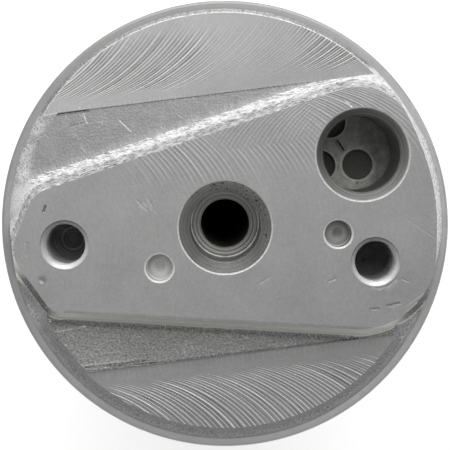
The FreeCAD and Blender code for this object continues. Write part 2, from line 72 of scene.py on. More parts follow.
class Signal:
    """A number that changes over a surface, held by a node's output socket."""

    def __init__(self, graph: "Graph", socket: bpy.types.NodeSocket) -> None:
        """Keep the socket and the graph that it belongs to."""
        self.graph = graph
        self.socket = socket

    def worked(self, operation: str, *others: "Signal | Number") -> "Signal":
        """Work this signal through a Math node.

        Args:
            operation: The Math node's operation.
            others: The node's other inputs.

        Returns:
            The node's result.
        """
        inputs = dict(enumerate((self, *others)))
        settings = {"operation": operation}
        return self.graph.signal("ShaderNodeMath", settings, inputs)

    def __add__(self, other: "Signal | Number") -> "Signal":
        """Add."""
        return self.worked("ADD", other)

    def __sub__(self, other: "Signal | Number") -> "Signal":
        """Take away."""
        return self.worked("SUBTRACT", other)

    def __rsub__(self, other: Number) -> "Signal":
        """Take this signal away from a number."""
        return self * -1 + other

    def __mul__(self, other: "Signal | Number") -> "Signal":
        """Multiply."""
        return self.worked("MULTIPLY", other)

    def __truediv__(self, other: "Signal | Number") -> "Signal":
        """Divide."""
        return self.worked("DIVIDE", other)

    def __pow__(self, other: Number) -> "Signal":
        """Raise to a power."""
        return self.worked("POWER", other)

    def __abs__(self) -> "Signal":
        """Drop the sign."""
        return self.worked("ABSOLUTE")

    __radd__ = __add__
    __rmul__ = __mul__

    def at_least(self, other: "Signal | Number") -> "Signal":
        """The larger of the two."""
        return self.worked("MAXIMUM", other)

    def at_most(self, other: "Signal | Number") -> "Signal":
        """The smaller of the two."""
        return self.worked("MINIMUM", other)

    def root(self) -> "Signal":
        """The square root."""
        return self.at_least(0).worked("SQRT")

    def wave(self) -> "Signal":
        """The sine of this signal, in radians."""
        return self.worked("SINE")

    def step(self, low: Number, high: Number) -> "Signal":
        """Rise smoothly from 0 at one value to 1 at another.

        Args:
            low: The value where the step starts.
            high: The value where it ends; under low, the step falls.

        Returns:
            The step, from 0 to 1.
        """
        settings = {"interpolation_type": "SMOOTHSTEP"}
        inputs = {"Value": self, "From Min": low, "From Max": high}
        return self.graph.signal("ShaderNodeMapRange", settings, inputs)


class Graph:
    """A material's node tree, written as expressions."""

    def __init__(self, name: str) -> None:
        """Start an empty material.

        Args:
            name: The material's name.
        """
        self.material = bpy.data.materials.new(name)
        self.material.use_nodes = True
        self.tree = self.material.node_tree
        self.tree.nodes.clear()

    def node(
        self,
        kind: str,
        settings: dict[str, object] | None = None,
        inputs: dict[str | int, object] | None = None,
    ) -> bpy.types.Node:
        """Add a node.

        Args:
            kind: The node's type.
            settings: The node's own properties, set first.
            inputs: Values, signals or sockets for its inputs, by name or number.

        Returns:
            The new node.
        """
        node = self.tree.nodes.new(kind)
        for key, value in (settings or {}).items():
            setattr(node, key, value)
        for key, value in (inputs or {}).items():
            if isinstance(value, Signal):
                self.tree.links.new(value.socket, node.inputs[key])
            elif isinstance(value, bpy.types.NodeSocket):
                self.tree.links.new(value, node.inputs[key])
            else:
                node.inputs[key].default_value = value
        return node

    def signal(
        self,
        kind: str,
        settings: dict[str, object] | None = None,
        inputs: dict[str | int, object] | None = None,
        output: str | int = 0,
    ) -> Signal:
        """Add a node and take one of its outputs as a signal."""
        return Signal(self, self.node(kind, settings, inputs).outputs[output])

    def place(self) -> tuple[Signal, Signal, Signal]:
        """The place on the object.

        Returns:
            Its X, Y and Z in millimetres.
        """
        source = self.node("ShaderNodeTexCoord").outputs["Object"]
        parts = self.node("ShaderNodeSeparateXYZ", None, {0: source}).outputs
        x, y, z = (Signal(self, part) * (1 / MM) for part in parts)
        return x, y, z

    def vector(self, x: Signal | Number, y: Signal | Number, z: Signal | Number) -> Signal:
        """Three signals as one vector."""
        return self.signal("ShaderNodeCombineXYZ", None, {0: x, 1: y, 2: z})

    def grain(
        self, where: Signal, pitch: float, detail: float = 2.0, rough: float = 0.5
    ) -> Signal:
        """Noise about zero, mostly from -1 to 1, with lumps of this pitch in millimetres."""
        inputs = {"Vector": where, "Scale": 1 / pitch, "Detail": detail, "Roughness": rough}
        return self.signal("ShaderNodeTexNoise", None, inputs) * 4 - 2

    def streaks(self, lane: Signal, detail: float = 2.0) -> Signal:
        """Noise along one number, about zero: uneven lines, one to each whole step.

        Args:
            lane: The number.
            detail: How many finer layers the noise has.

        Returns:
            The noise, mostly from -1 to 1.
        """
        settings = {"noise_dimensions": "1D"}
        inputs = {"W": lane, "Scale": 1.0, "Detail": detail, "Roughness": 0.6}
        return self.signal("ShaderNodeTexNoise", settings, inputs) * 4 - 2

    def pits(self, where: Signal, pitch: float, spread: float) -> Signal:
        """Distance from scattered points, as a share of their pitch."""
        inputs = {"Vector": where, "Scale": 1 / pitch, "Randomness": spread}
        return self.signal("ShaderNodeTexVoronoi", None, inputs)

    def scuffs(self, x: Signal, y: Signal, turn: float, length: float, width: float) -> Signal:
        """Scattered light scratches that run one way.

        Args:
            x: The place along X.
            y: The place along Y.
            turn: The scratches' direction from +X, in degrees.
            length: Their length.
            width: Their width.

        Returns:
            1 on a scratch, 0 elsewhere.
        """
        cosine, sine = math.cos(math.radians(turn)), math.sin(math.radians(turn))
        along = (x * cosine + y * sine) / length
        across = (y * cosine - x * sine) / width
        return self.grain(self.vector(along, across, turn), 1.0, 1.0).step(0.75, 1.15)

    def grey(self, tone: Signal, warmth: float) -> bpy.types.NodeSocket:
        """A grey of this brightness that lacks a share of blue, twice the warmth."""
        inputs = {0: tone, 1: tone, 2: tone * (1 - 2 * warmth)}
        return self.node("ShaderNodeCombineColor", None, inputs).outputs[0]

    def relief(self, height: Signal, depth_mm: float) -> bpy.types.NodeSocket:
        """The normal bent by a height, which is given in steps of depth_mm."""
        inputs = {"Strength": 1.0, "Distance": depth_mm * MM, "Height": height}
        return self.node("ShaderNodeBump", None, inputs).outputs["Normal"]

    def finished(self, inputs: dict[str, object]) -> bpy.types.Material:
        """Close the graph with a Principled shader.

        Args:
            inputs: Plain values for what is the same all over, and links for what varies.

        Returns:
            The material.
        """
        shader = self.node("ShaderNodeBsdfPrincipled", None, inputs)
        self.node("ShaderNodeOutputMaterial", None, {"Surface": shader.outputs[0]})
        return self.material


def length_of(across: Signal, up: Signal) -> Signal:
    """The length of a vector in plan."""
    return (across * across + up * up).root()


@dataclass(frozen=True)
class Stroke:
    """A short straight line on a surface.

    Attributes:
        start: One end, as (x, y) in millimetres.
        end: The other end.
        width: Its width.
    """

    start: tuple[float, float]
    end: tuple[float, float]
    width: float

    @classmethod
    def rows(cls, *rows: tuple[float, ...]) -> tuple["Stroke", ...]:
        """Strokes from rows of x, y, x, y, width and the kind's own value."""
        return tuple(cls(row[:2], row[2:4], *row[4:]) for row in rows)


@dataclass(frozen=True)
class Mark(Stroke):
    """A stroke that is lighter or darker than the surface round it.

    Attributes:
        gain: How much lighter it is.
    """

    gain: float

    def shown(self, x: Signal, y: Signal) -> Signal:
        """What the mark adds at a place.

        Args:
            x: The place along X.
            y: The place along Y.

        Returns:
            The added brightness.
        """
        run, rise = self.end[0] - self.start[0], self.end[1] - self.start[1]
        across, up = x - self.start[0], y - self.start[1]
        share = (across * run + up * rise) / max(run * run + rise * rise, 1e-6)
        share = share.at_least(0).at_most(1)
        away = length_of(across - share * run, up - share * rise)
        return away.step(self.width * 0.75, self.width * 0.3) * self.gain


@dataclass(frozen=True)
class Band:
    """A lighter or darker band along a straight line, ragged at its sides.

    Attributes:
        offset: The line's Y where X is zero.
        slope: The line's slope, in degrees.
        near: The distance from the line up to which the band is at its strongest.
        far: The distance where it ends.
        gain: How much brighter it is.
        ragged: How far its sides wander.
    """

    offset: float
    slope: float
    near: float
    far: float
    gain: float
    ragged: float

    def shown(self, graph: Graph, x: Signal, y: Signal) -> Signal:
        """What the band adds at a place.

        Args:
            graph: The material's graph.
            x: The place along X.
            y: The place along Y.

        Returns:
            The added brightness.
        """
        slope = math.radians(self.slope)
        across = (y - self.offset - x * math.tan(slope)) * math.cos(slope)
        along = x * math.cos(slope) + y * math.sin(slope)
        streak = graph.grain(graph.vector(along / 0.2, across / 2.5, self.offset), 1.0)
        away = (across * across).root() - streak * self.ragged
        return away.step(self.far, self.near) * self.gain


@dataclass(frozen=True)
class Fade:
    """A brightness that is added from a height on.

    Attributes:
        none: The height where nothing is added.
        full: The height where all of it is added.
        gain: How much brighter it is there.
        from_y: The Y below which it doesn't apply.
    """

    none: float
    full: float
    gain: float
    from_y: float = -99.0

    def shown(self, y: Signal, z: Signal, grain: Signal) -> Signal:
        """What the fade adds at a place.

        Args:
            y: The place along Y.
            z: Its height.
            grain: The noise that makes the fade's limit uneven.

        Returns:
            The added brightness.
        """
        height = z + grain * (self.full - self.none) * 0.6
        share = height.step(self.none, self.full) * y.step(self.from_y - 0.4, self.from_y)
        return share * self.gain


@dataclass(frozen=True)
class Finish:
    """What every finish has. Each kind works out its surface in material().

    Attributes:
        name: The material's name.
        tone: Its grey.
        marks: Strokes of another brightness.
        roughness: Its roughness, where nothing varies it.
        metallic: How far it is metal.
        warmth: Half the share of blue that it lacks.
    """

    name: str
    tone: float
    _: KW_ONLY
    marks: tuple[Mark, ...] = ()
    roughness: float = 0.5
    metallic: float = 0.0
    warmth: float = 0.002

    def closed(
        self, graph: Graph, tone: Signal, height: Signal, depth: float, rough: Signal | None = None
    ) -> bpy.types.Material:
        """Turn what was worked out for the surface into its material.

        Args:
            graph: The material's graph.
            tone: The surface's brightness.
            height: Its height, in steps of the depth.
            depth: What one step stands for, in millimetres.
            rough: Its roughness, where that varies.

        Returns:
            The material.
        """
        colour, normal = graph.grey(tone, self.warmth), graph.relief(height, depth)
        values = {"Base Color": colour, "Normal": normal, "Metallic": self.metallic}
        return graph.finished({**values, "Roughness": self.roughness if rough is None else rough})


@dataclass(frozen=True)
class MilledFinish(Finish):
    """A face cut by a face mill that travels along X, with arcs one feed apart.

    Attributes:
        centre_y: The height of the cutter's centre line.
        cutter_radius: The cutter's radius.
        feed: How far the cutter goes for each arc.
        rise: Two values of Y between which the arcs grow strong.
        fall: Two values of Y between which they fade again.
        start: Two values of X between which the arcs set in.
        strength: How deep the arcs are.
        gain: How much lighter and darker the arcs are than the face.
        peaks: How far the arcs are thin bright lines, from 0 to 1.
        crossing: How strong the cutter's returning arcs are.
        scuffed: How bright the light scuffs are.
        tilt: How the brightness changes for each millimetre along X and Y.
        returning: Where the returning arcs set in and end along X, and set in along Y.
    """

    centre_y: float
    cutter_radius: float
    feed: float
    rise: tuple[float, float]
    fall: tuple[float, float]
    start: tuple[float, float]
    strength: float
    gain: float
    peaks: float
    crossing: float = 0.0
    scuffed: float = 0.03
    tilt: tuple[float, float] = (0.0, 0.0)
    _: KW_ONLY
    returning: tuple[tuple[float, float], ...] = ((-4, 3), (20, 14), (12.3, 13.3))
    roughness: float = 0.4
    metallic: float = 0.6

    def arcs(self, x: Signal, y: Signal, side: int) -> Signal:
        """The arcs' lane number.

        Args:
            x: The place along X.
            y: The place along Y.
            side: The cutter's leading (1) or trailing (-1) side.

        Returns:
            The number, one more for each arc along X.
        """
        drop = y - self.centre_y
        reach = (self.cutter_radius**2 - drop * drop).root()
        return (x - reach * side) / self.feed

    def material(self) -> bpy.types.Material:
        """Build the finish.

        Returns:
            The material.
        """
        graph = Graph(self.name)
        x, y, z = graph.place()
        where = graph.vector(x, y, z)
        patches = graph.grain(where, 5.0)
        limit = y + patches * 0.8
        # The arcs are real tool marks, but they are made strong only between rise, fall and start,
        # where the light shows them: that masking is painted reflection.
        shown = limit.step(*self.rise) * limit.step(*self.fall) * x.step(*self.start)
        shown = shown * (patches * 0.35 + 0.8).at_least(0.1)
        lane = self.arcs(x, y, 1)
        lane = lane + graph.streaks(lane * 0.5) * 0.12
        wave = (lane * (2 * math.pi)).wave()
        second = (lane * math.pi + 0.6).wave() * graph.streaks(lane * 0.13).step(-0.4, 0.4)
        thin = (wave * 0.5 + 0.5) ** 6 * 2.4 - 0.5
        marks = wave * (1 - self.peaks) + thin * self.peaks + second * 0.6
        uneven = graph.streaks(lane * 3.3, 3.0) * 0.6
        marks = marks * (graph.streaks(lane * 1.1) * 0.4 + 0.9) + uneven
        back = self.arcs(x, y, -1)
        returned = (back * (2 * math.pi)).wave() + graph.streaks(back * 2.3, 3.0)
        begins, ends, above = self.returning
        crossed = x.step(*begins) * x.step(*ends) * (y + patches * 0.7).step(*above)
        lines = marks * (shown + 0.08) * (1 - crossed * 0.8) + returned * crossed * self.crossing
        fine = graph.grain(where, 0.22, 3.0, 0.7)
        broad = graph.grain(where, 9.0, 3.0)
        scuff = graph.scuffs(x, y, 35, 2.6, 0.13) + graph.scuffs(x, y, -58, 2.0, 0.12)
        scuff = scuff * (broad + 0.4).at_least(0)
        mottle = graph.grain(where, 0.9)
        tone = self.tone + lines * self.gain + scuff * self.scuffed
        tone = tone + fine * 0.06 + mottle * 0.02 + broad * 0.035
        tone = tone + x * self.tilt[0] + y * self.tilt[1]
        tone = sum((mark.shown(x, y) for mark in self.marks), tone)
        rough = self.roughness + fine * 0.06 + patches * 0.03
        return self.closed(graph, tone, lines * self.strength + fine * 0.3, 0.012, rough)


@dataclass(frozen=True)
class ForgedFinish(Finish):
    """The grainy skin that the forging die leaves.

    Attributes:
        pitch: The size of the grain.
        depth: How deep the grain is.
        contrast: How much lighter and darker the grain is.
        sparkle: How bright its brightest grains are.
        scratched: How bright its scratches are.
        stretch: How far the grain is drawn out along X.
        bands: Bands of another brightness.
        patches: Patches of another brightness, each (x, y, reach, gain).
        fades: What is added at a height.
    """

    pitch: float
    depth: float
    contrast: float
    sparkle: float
    scratched: float = 0.0
    stretch: float = 1.0
    _: KW_ONLY
    bands: tuple[Band, ...] = ()
    patches: tuple[tuple[float, float, float, float], ...] = ()
    fades: tuple[Fade, ...] = ()
    metallic: float = 0.5

    def material(self) -> bpy.types.Material:
        """Build the finish.

        Returns:
            The material.
        """
        graph = Graph(self.name)
        x, y, z = graph.place()
        where = graph.vector(x / self.stretch, y, z)
        coarse = graph.grain(where, self.pitch * 5)
        grain = graph.grain(where, self.pitch, 2.0, 0.7)
        spark = graph.grain(where, self.pitch * 0.7, 1.0).step(0.8, 1.4)
        tone = self.tone + grain * self.contrast + coarse * 0.025 + spark * self.sparkle
        for centre_x, centre_y, reach, gain in self.patches:
            away = length_of(x - centre_x, y - centre_y) + grain * reach * 0.12
            tone = tone + away.step(reach, reach * 0.3) * (grain * 0.9 + 1) * gain
        tone = sum((band.shown(graph, x, y) for band in self.bands), tone)
        tone = sum((fade.shown(y, z, grain) for fade in self.fades), tone)
        tone = sum((mark.shown(x, y) for mark in self.marks), tone)
        if self.scratched:
            light = graph.scuffs(x, y, 74, 4.0, 0.2) + graph.scuffs(x, y, 106, 3.0, 0.2)
            light = light + graph.scuffs(x, y, -38, 3.5, 0.2) + graph.scuffs(x, y, 125, 3.0, 0.2)
            tone = tone + light * (coarse * 0.5 + 0.7).at_least(0) * self.scratched
        tone = tone.at_most(LIGHTEST).at_least(0.03)
        rough = self.roughness + coarse * 0.04
        return self.closed(graph, tone, grain + coarse, self.depth, rough)


@dataclass(frozen=True)
class TurnedFinish(Finish):
    """A turned surface with fine rings about one axis.

    Attributes:
        axis: The axis's (x, y).
        pitch: How far apart the rings are.
        depth: How deep they are.
        pitted: How much of the surface is pitted.
        ringed: How much lighter and darker the rings are.
        tilt: How the brightness changes for each millimetre from the axis along X and Y: painted
            light and shade, one side lighter than the other.
        highlight_ring: The inner and outer radius of a ring of painted highlight, if it has one.
        shade_depths: Two heights between which it grows darker going down, painted shade deeper in
            the hole, if it has any.
    """

    axis: tuple[float, float]
    pitch: float
    depth: float
    pitted: float = 0.0
    ringed: float = 0.05
    tilt: tuple[float, float] = (0.0, 0.0)
    _: KW_ONLY
    highlight_ring: tuple[float, float] | None = None
    shade_depths: tuple[float, float] | None = None
    roughness: float = 0.35
    metallic: float = 0.6

    def material(self) -> bpy.types.Material:
        """Build the finish.

        Returns:
            The material.
        """
        graph = Graph(self.name)
        x, y, z = graph.place()
        across, up = x - self.axis[0], y - self.axis[1]
        radius = length_of(across, up)
        where = graph.vector(x, y, z)
        rings = graph.streaks((radius + z * 1.3) / self.pitch, 3.0)
        fine = graph.grain(where, 0.25)
        patches = graph.grain(where, 2.5)
        tone = self.tone + rings * self.ringed + fine * 0.03 + patches * 0.03
        tone = tone + across * self.tilt[0] + up * self.tilt[1]
        height = rings + fine * 0.3
        rough = self.roughness + patches * 0.04
        if self.highlight_ring:
            inner, outer = self.highlight_ring
            edge = (outer - inner) / 2
            ring = radius.step(inner - edge, inner + edge) * radius.step(outer + edge, outer - edge)
            # Painted highlight: a light ring round the axis.
            tone = tone + ring * (patches * 0.6 + 0.8).at_least(0)
        if self.shade_depths:
            # Painted shade: darker going down.
            tone = tone * (z.step(*self.shade_depths) * 0.4 + 0.6)
        if self.pitted:
            pits = graph.grain(where, 0.5).step(1.1 - self.pitted, 1.3 - self.pitted)
            pits = pits * (graph.grain(where, 4.0, 1.0) + (across + up) * 0.08).step(0.2, 0.9)
            tone = tone * (1 - pits * 0.8)
            height = height - pits * 5
            rough = rough + pits * 0.3
        tone = tone.at_most(LIGHTEST).at_least(0.02)
        return self.closed(graph, tone, height, self.depth, rough)


@dataclass(frozen=True)
class DrawnFinish(Finish):
    """Drawn metal with faint lines along Z.

    Attributes:
        line_pitch: How far apart the lines are round the wall.
        depth: How deep they are.
    """

    line_pitch: float = 0.4
    depth: float = 0.006
    _: KW_ONLY
    roughness: float = 0.38
    metallic: float = 0.9
    warmth: float = 0.004

    def material(self) -> bpy.types.Material:
        """Build the finish.

        Returns:
            The material.
        """
        graph = Graph(self.name)
        x, y, z = graph.place()
        stretched = graph.vector(x, y, z * 0.03)
        lines = graph.grain(stretched, self.line_pitch, 3.0, 0.6)
        stains = graph.grain(graph.vector(x, y, z), 12.0, 3.0)
        tone = self.tone + lines * 0.02 + stains * 0.02
        rough = self.roughness + lines * 0.03 + stains * 0.04
        return self.closed(graph, tone, lines, self.depth, rough)


@dataclass(frozen=True)
class PlateFinish(Finish):
    """Pressed steel sheet, dull and stained with grime, with brighter rims round its holes.

    Attributes:
        rims: Brighter rims, each as (x, y, radius).
    """

    rims: tuple[tuple[float, float, float], ...] = ()
    _: KW_ONLY
    roughness: float = 0.55
    metallic: float = 0.35
    warmth: float = 0.03

    def material(self) -> bpy.types.Material:
        """Build the finish.

        Returns:
            The material.
        """
        graph = Graph(self.name)
        x, y, z = graph.place()
        where = graph.vector(x, y, z)
        grime = graph.grain(where, 1.6, 3.0, 0.6)
        fine = graph.grain(where, 0.3)
        tone = self.tone * (grime * 0.3 + fine * 0.12 + 1)
        for centre_x, centre_y, radius in self.rims:
            away = abs(length_of(x - centre_x, y - centre_y) - radius) - grime * 0.1
            tone = tone + away.step(0.4, 0.1) * 0.14
        tone = sum((mark.shown(x, y) for mark in self.marks), tone)
        tone = tone.at_least(0.01).at_most(LIGHTEST)
        return self.closed(graph, tone, fine + grime, 0.02, self.roughness + grime * 0.05)


@dataclass(frozen=True)
class ClothFinish(Finish):
    """Felt or woven cloth.

    Attributes:
        thread: The pitch of its threads, or of its fibres.
        woven: True for threads in two directions, False for felted fibres.
    """

    thread: float
    woven: bool
    _: KW_ONLY
    roughness: float = 0.9
    warmth: float = 0.03

    def material(self) -> bpy.types.Material:
        """Build the finish.

        Returns:
            The material.
        """
        graph = Graph(self.name)
        x, y, z = graph.place()
        where = graph.vector(x, y, z)
        if self.woven:
            turn = 2 * math.pi / self.thread
            height = (x * turn).wave() * (y * turn).wave() + (z * turn).wave() * 0.5
        else:
            height = graph.grain(where, self.thread, 4.0, 0.7)
        tone = self.tone + height * 0.03 + graph.grain(where, 6.0) * 0.02
        return self.closed(graph, tone, height, self.thread * 0.2)


@dataclass(frozen=True)
class BeadFinish(Finish):
    """A packed bed of round beads.

    Attributes:
        bead: A bead's diameter.
    """

    bead: float
    _: KW_ONLY
    roughness: float = 0.8
    warmth: float = 0.12

    def material(self) -> bpy.types.Material:
        """Build the finish.

        Returns:
            The material.
        """
        graph = Graph(self.name)
        where = graph.vector(*graph.place())
        centre = graph.pits(where, self.bead, 0.6)
        dome = (1 - centre * centre * 2).root()
        # Painted shade: each bead darkens toward its edge, so the gaps between beads are dark.
        tone = self.tone * (0.45 + dome * 0.55) + graph.grain(where, 0.6) * 0.02
        return self.closed(graph, tone, dome, self.bead * 0.5)


@dataclass(frozen=True)
class MouldedFinish(Finish):
    """Moulded plastic with a faint grain."""

    _: KW_ONLY
    roughness: float = 0.55
    warmth: float = 0.02

    def material(self) -> bpy.types.Material:
        """Build the finish.

        Returns:
            The material.
        """
        graph = Graph(self.name)
        where = graph.vector(*graph.place())
        grain = graph.grain(where, 0.4)
        tone = self.tone + graph.grain(where, 4.0) * 0.02
        return self.closed(graph, tone, grain, 0.01)


class Region(Enum):
    """The head's surfaces, one finish each, in the order of its material slots."""

    PAD_FACE = 0
    UPPER_FLAT = 1
    LOWER_FLAT = 2
    UPPER_RAMP = 3
    LOWER_RAMP = 4
    UPPER_WALL = 5
    LOWER_WALL = 6
    END_WALL = 7
    UPPER_SHOULDER = 8
    LOWER_SHOULDER = 9
    RIM = 10
    LIP = 11
    OUTLET_SEAT = 12
    OUTLET_FLOOR = 13
    INLET_SEAT = 14
    INLET_BORE = 15
    OUTLET_THREAD = 16
    INLET_THREAD = 17
    OUTLET_LOCATOR = 18
    UNDERSIDE = 19
    OUTLET_SINK = 20
    INLET_SINK = 21
    INLET_LOCATOR = 22


WORKED = {
    Region.PAD_FACE: 4.0,
    Region.UPPER_FLAT: 4.0,
    Region.LOWER_FLAT: 4.0,
    Region.UPPER_RAMP: 1.5,
    Region.LOWER_RAMP: 1.5,
    Region.UPPER_WALL: 0.5,
    Region.LOWER_WALL: 0.7,
    Region.END_WALL: 0.9,
    Region.UPPER_SHOULDER: 1.2,
    Region.LOWER_SHOULDER: 1.2,
}
WORKED_SLOTS = {region.value for region in WORKED}
SHOULDERS = {Region.UPPER_SHOULDER.value, Region.LOWER_SHOULDER.value}


@dataclass(frozen=True)
class Knock(Stroke):
    """A scratch, gouge or dent pressed into the head from above.

    Attributes:
        depth: How deep it is at the middle.
    """

    depth: float

    def away(self, place: Vector) -> float:
        """Distance from the middle line.

        Args:
            place: A place, in millimetres.

        Returns:
            Its distance in plan.
        """
        start, end = Vector(self.start), Vector(self.end)
        along = end - start
        share = (place.to_2d() - start).dot(along) / max(along.length_squared, 1e-9)
        nearest = start + along * min(max(share, 0.0), 1.0)
        return (place.to_2d() - nearest).length

    def sink(self, place: Vector) -> float:
        """How far a place goes down, in millimetres."""
        share = self.away(place) / (self.width / 2)
        return self.depth * (1 - share * share) ** 2 if share < 1 else 0.0


@dataclass(frozen=True)
class Hole:
    """A hole in the head, and the surfaces that it has.

    Attributes:
        centre: Its axis, as (x, y).
        reach: How far its surfaces reach from its axis.
        surfaces: Its surfaces going down, each with the depth where it ends.
    """

    centre: tuple[float, float]
    reach: float
    surfaces: tuple[tuple[float, Region], ...]

    def region(self, middle: Vector, depth: float) -> Region | None:
        """The hole's surface that a face belongs to.

        Args:
            middle: The face's middle, in millimetres.
            depth: Its depth below the pad's face.

        Returns:
            The surface, or None where the face isn't in the hole.
        """
        if (middle.to_2d() - Vector(self.centre)).length >= self.reach:
            return None
        return next((region for end, region in self.surfaces if depth < end), None)


def new_piece(name: str, mesh: bpy.types.Mesh, replaced: str) -> bpy.types.Object:
    """Put a mesh into the scene as a piece of the part.

    Args:
        name: The piece's name.
        mesh: Its mesh, in metres in the part's frame.
        replaced: The node that it stands for.

    Returns:
        The piece.
    """
    piece = bpy.data.objects.new(name, mesh)
    bpy.context.scene.collection.objects.link(piece)
    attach(piece, "root")
    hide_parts(replaced)
    return piece


@dataclass
class Head:
    """The forged and milled head, rebuilt from its solid with a finer skin.

    Attributes:
        source: The head's own node.
        top: The height of the pad's face.
        pad_rise: The pad's height above the rim's ledge.
        rim_height: The rim's height below the ledge.
        ledge_radius: The radius where the shoulder meets the ledge.
        upper_flat_depth: The upper flat's depth below the pad's face.
        lower_flat_depth: The lower flat's depth below the pad's face.
        forged_depth: The forged level's depth below the pad's face.
        draft: The slope of the pad's walls, in degrees from upright.
        upper_edge: The pad's upper edge, as its Y where X is zero and its slope in degrees.
        lower_edge: The pad's lower edge, said in the same way.
        end_width: The width within which a wall of the pad is its wide end's.
        end_worn: How far the edge of the pad's wide end is worn back.
        end_spread: How far that end's foot is spread.
        inlet: The inlet port's axis. The outlet port's is the head's own.
        outlet_bolt, inlet_bolt: The tapped holes' axes.
        outlet_locator, inlet_locator: The locating holes' axes.
        port_reach: How far the ports' surfaces reach from their axes.
        bolt_reach: How far the tapped holes' surfaces do.
        locator_reach: How far the locating holes' surfaces do.
        lip_depth: How deep the countersinks go. The ports' and locating holes' edges go less deep.
        seat_depth: How deep the ports' conical seats go.
        outlet_floor_depth: The depth of the outlet port's stepped floor.
        drill_radius: The tapped holes' radius.
        thread_pitch: The thread's pitch.
        thread_depth: The depth of its grooves.
        thread_start, thread_end: The depths between which the tapped holes are threaded.
        tolerance: How far a flat face's height may be off.
        level: The upward part of a normal from which a face is level.
        facing: The part of a normal along some way from which a face looks that way.
        finest: The length of the skin's edges at a knock.
        growth: How much longer they get for each millimetre away from it.
        sharp_from: The angle between faces, in degrees, from which their edge stays sharp.
        outline: Points along the edges round the pad's face.
        knocks: The scratches and dents.
        holes: The ports, the tapped holes and the locating holes.
    """

    source: bpy.types.Object
    top: float
    pad_rise: float = 7.5
    rim_height: float = 14.0
    ledge_radius: float = 36.6
    upper_flat_depth: float = 6.8
    lower_flat_depth: float = 5.3
    forged_depth: float = 4.8
    draft: float = 19.0
    upper_edge: tuple[float, float] = (15.8, 11.7)
    lower_edge: tuple[float, float] = (-15.95, -10.3)
    end_width: float = 34.0
    end_worn: float = 0.35
    end_spread: float = 0.4
    inlet: tuple[float, float] = (24.1, 9.25)
    outlet_bolt: tuple[float, float] = (-26.8, 0.4)
    inlet_bolt: tuple[float, float] = (24.1, -8.7)
    outlet_locator: tuple[float, float] = (-11.65, -5.35)
    inlet_locator: tuple[float, float] = (18.5, -3.35)
    port_reach: float = 8.1
    bolt_reach: float = 4.2
    locator_reach: float = 2.65
    lip_depth: float = 0.75
    seat_depth: float = 3.1
    outlet_floor_depth: float = 13.5
    drill_radius: float = 3.4
    thread_pitch: float = 1.25
    thread_depth: float = 0.55
    thread_start: float = 0.7
    thread_end: float = 16.5
    tolerance: float = 0.02
    level: float = 0.999
    facing: float = 0.95
    finest: float = 0.22
    growth: float = 1.5
    sharp_from: float = 28.0
    outline: KDTree | None = None
    knocks: tuple[Knock, ...] = Knock.rows(
        (22.31, 18.39, 23.19, 17.37, 0.3, 0.06), (4.25, -10.03, 6.73, -8.91, 0.25, 0.03),
        (16.04, -11.06, 17.17, -10.7, 0.3, 0.04), (28.09, -12.04, 29.02, -12.66, 0.3, 0.05),
        (22.36, -16.47, 23.69, -16.55, 0.35, 0.05), (25.08, -16.22, 27.11, -16.05, 0.35, 0.06),
        (27.98, -17.25, 31.54, -15.5, 0.3, 0.04), (-29.2, 7.0, -29.5, 6.3, 0.5, 0.15),
        (-31.35, -4.98, -31.2, -5.1, 1.3, 0.1), (-33.04, 1.53, -33.27, -0.62, 0.35, 0.05),
        (-33.67, -11.78, -31.35, -12.33, 0.5, 0.15), (-31.44, -14.37, -25.59, -14.06, 0.5, 0.1),
        (-30.92, -17.01, -29.01, -16.73, 0.45, 0.12), (-23.47, -21.3, -13.77, -21.6, 0.3, 0.12),
        (-15.35, 19.79, -13.74, 17.73, 0.3, 0.06), (22.96, -12.84, 24.08, -13.31, 0.25, 0.03),
        (24.08, -13.31, 25.78, -13.10, 0.25, 0.03), (25.78, -13.10, 27.24, -12.10, 0.25, 0.03),
        (-28.68, -1.69, -26.80, -1.42, 0.25, 0.02), (-13.94, 6.23, -12.50, 4.37, 0.3, 0.03),
        (-12.2, 6.6, -11.5, 4.9, 0.25, 0.03), (29.87, -2.15, 34.25, -5.85, 0.22, 0.015),
        (-31.59, -14.18, -25.74, -21.95, 0.4, 0.05), (-27.29, 21.94, -20.48, 22.12, 0.3, 0.1),
        (-21.21, 21.70, -20.90, 20.14, 0.3, 0.08), (-20.90, 20.14, -23.85, 19.65, 0.3, 0.05),
        (15.90, 21.38, 22.25, 21.95, 0.3, 0.12),
    )
    holes: tuple[Hole, ...] = field(init=False)

    def __post_init__(self) -> None:
        """List the holes with their surfaces."""
        bottom = self.pad_rise + 13
        lip = (self.lip_depth / 3, Region.LIP)
        seat = (self.outlet_floor_depth - 0.01, Region.OUTLET_SEAT)
        outlet = (lip, seat, (bottom, Region.OUTLET_FLOOR))
        inlet = (lip, (self.seat_depth - 0.5, Region.INLET_SEAT), (bottom, Region.INLET_BORE))
        holes = [Hole((0, 0), self.port_reach, outlet), Hole(self.inlet, self.port_reach, inlet)]
        for centre, sink, thread in (
            (self.outlet_bolt, Region.OUTLET_SINK, Region.OUTLET_THREAD),
            (self.inlet_bolt, Region.INLET_SINK, Region.INLET_THREAD),
        ):
            levels = ((self.lip_depth, sink), (math.inf, thread))
            holes.append(Hole(centre, self.bolt_reach, levels))
        for centre, wall in (
            (self.outlet_locator, Region.OUTLET_LOCATOR),
            (self.inlet_locator, Region.INLET_LOCATOR),
        ):
            levels = ((self.lip_depth / 2, Region.LIP), (math.inf, wall))
            holes.append(Hole(centre, self.locator_reach, levels))
        self.holes = tuple(holes)

    def depth_of(self, place: Vector) -> float:
        """Depth of a place, in millimetres, below the pad's face."""
        return self.top - place.z

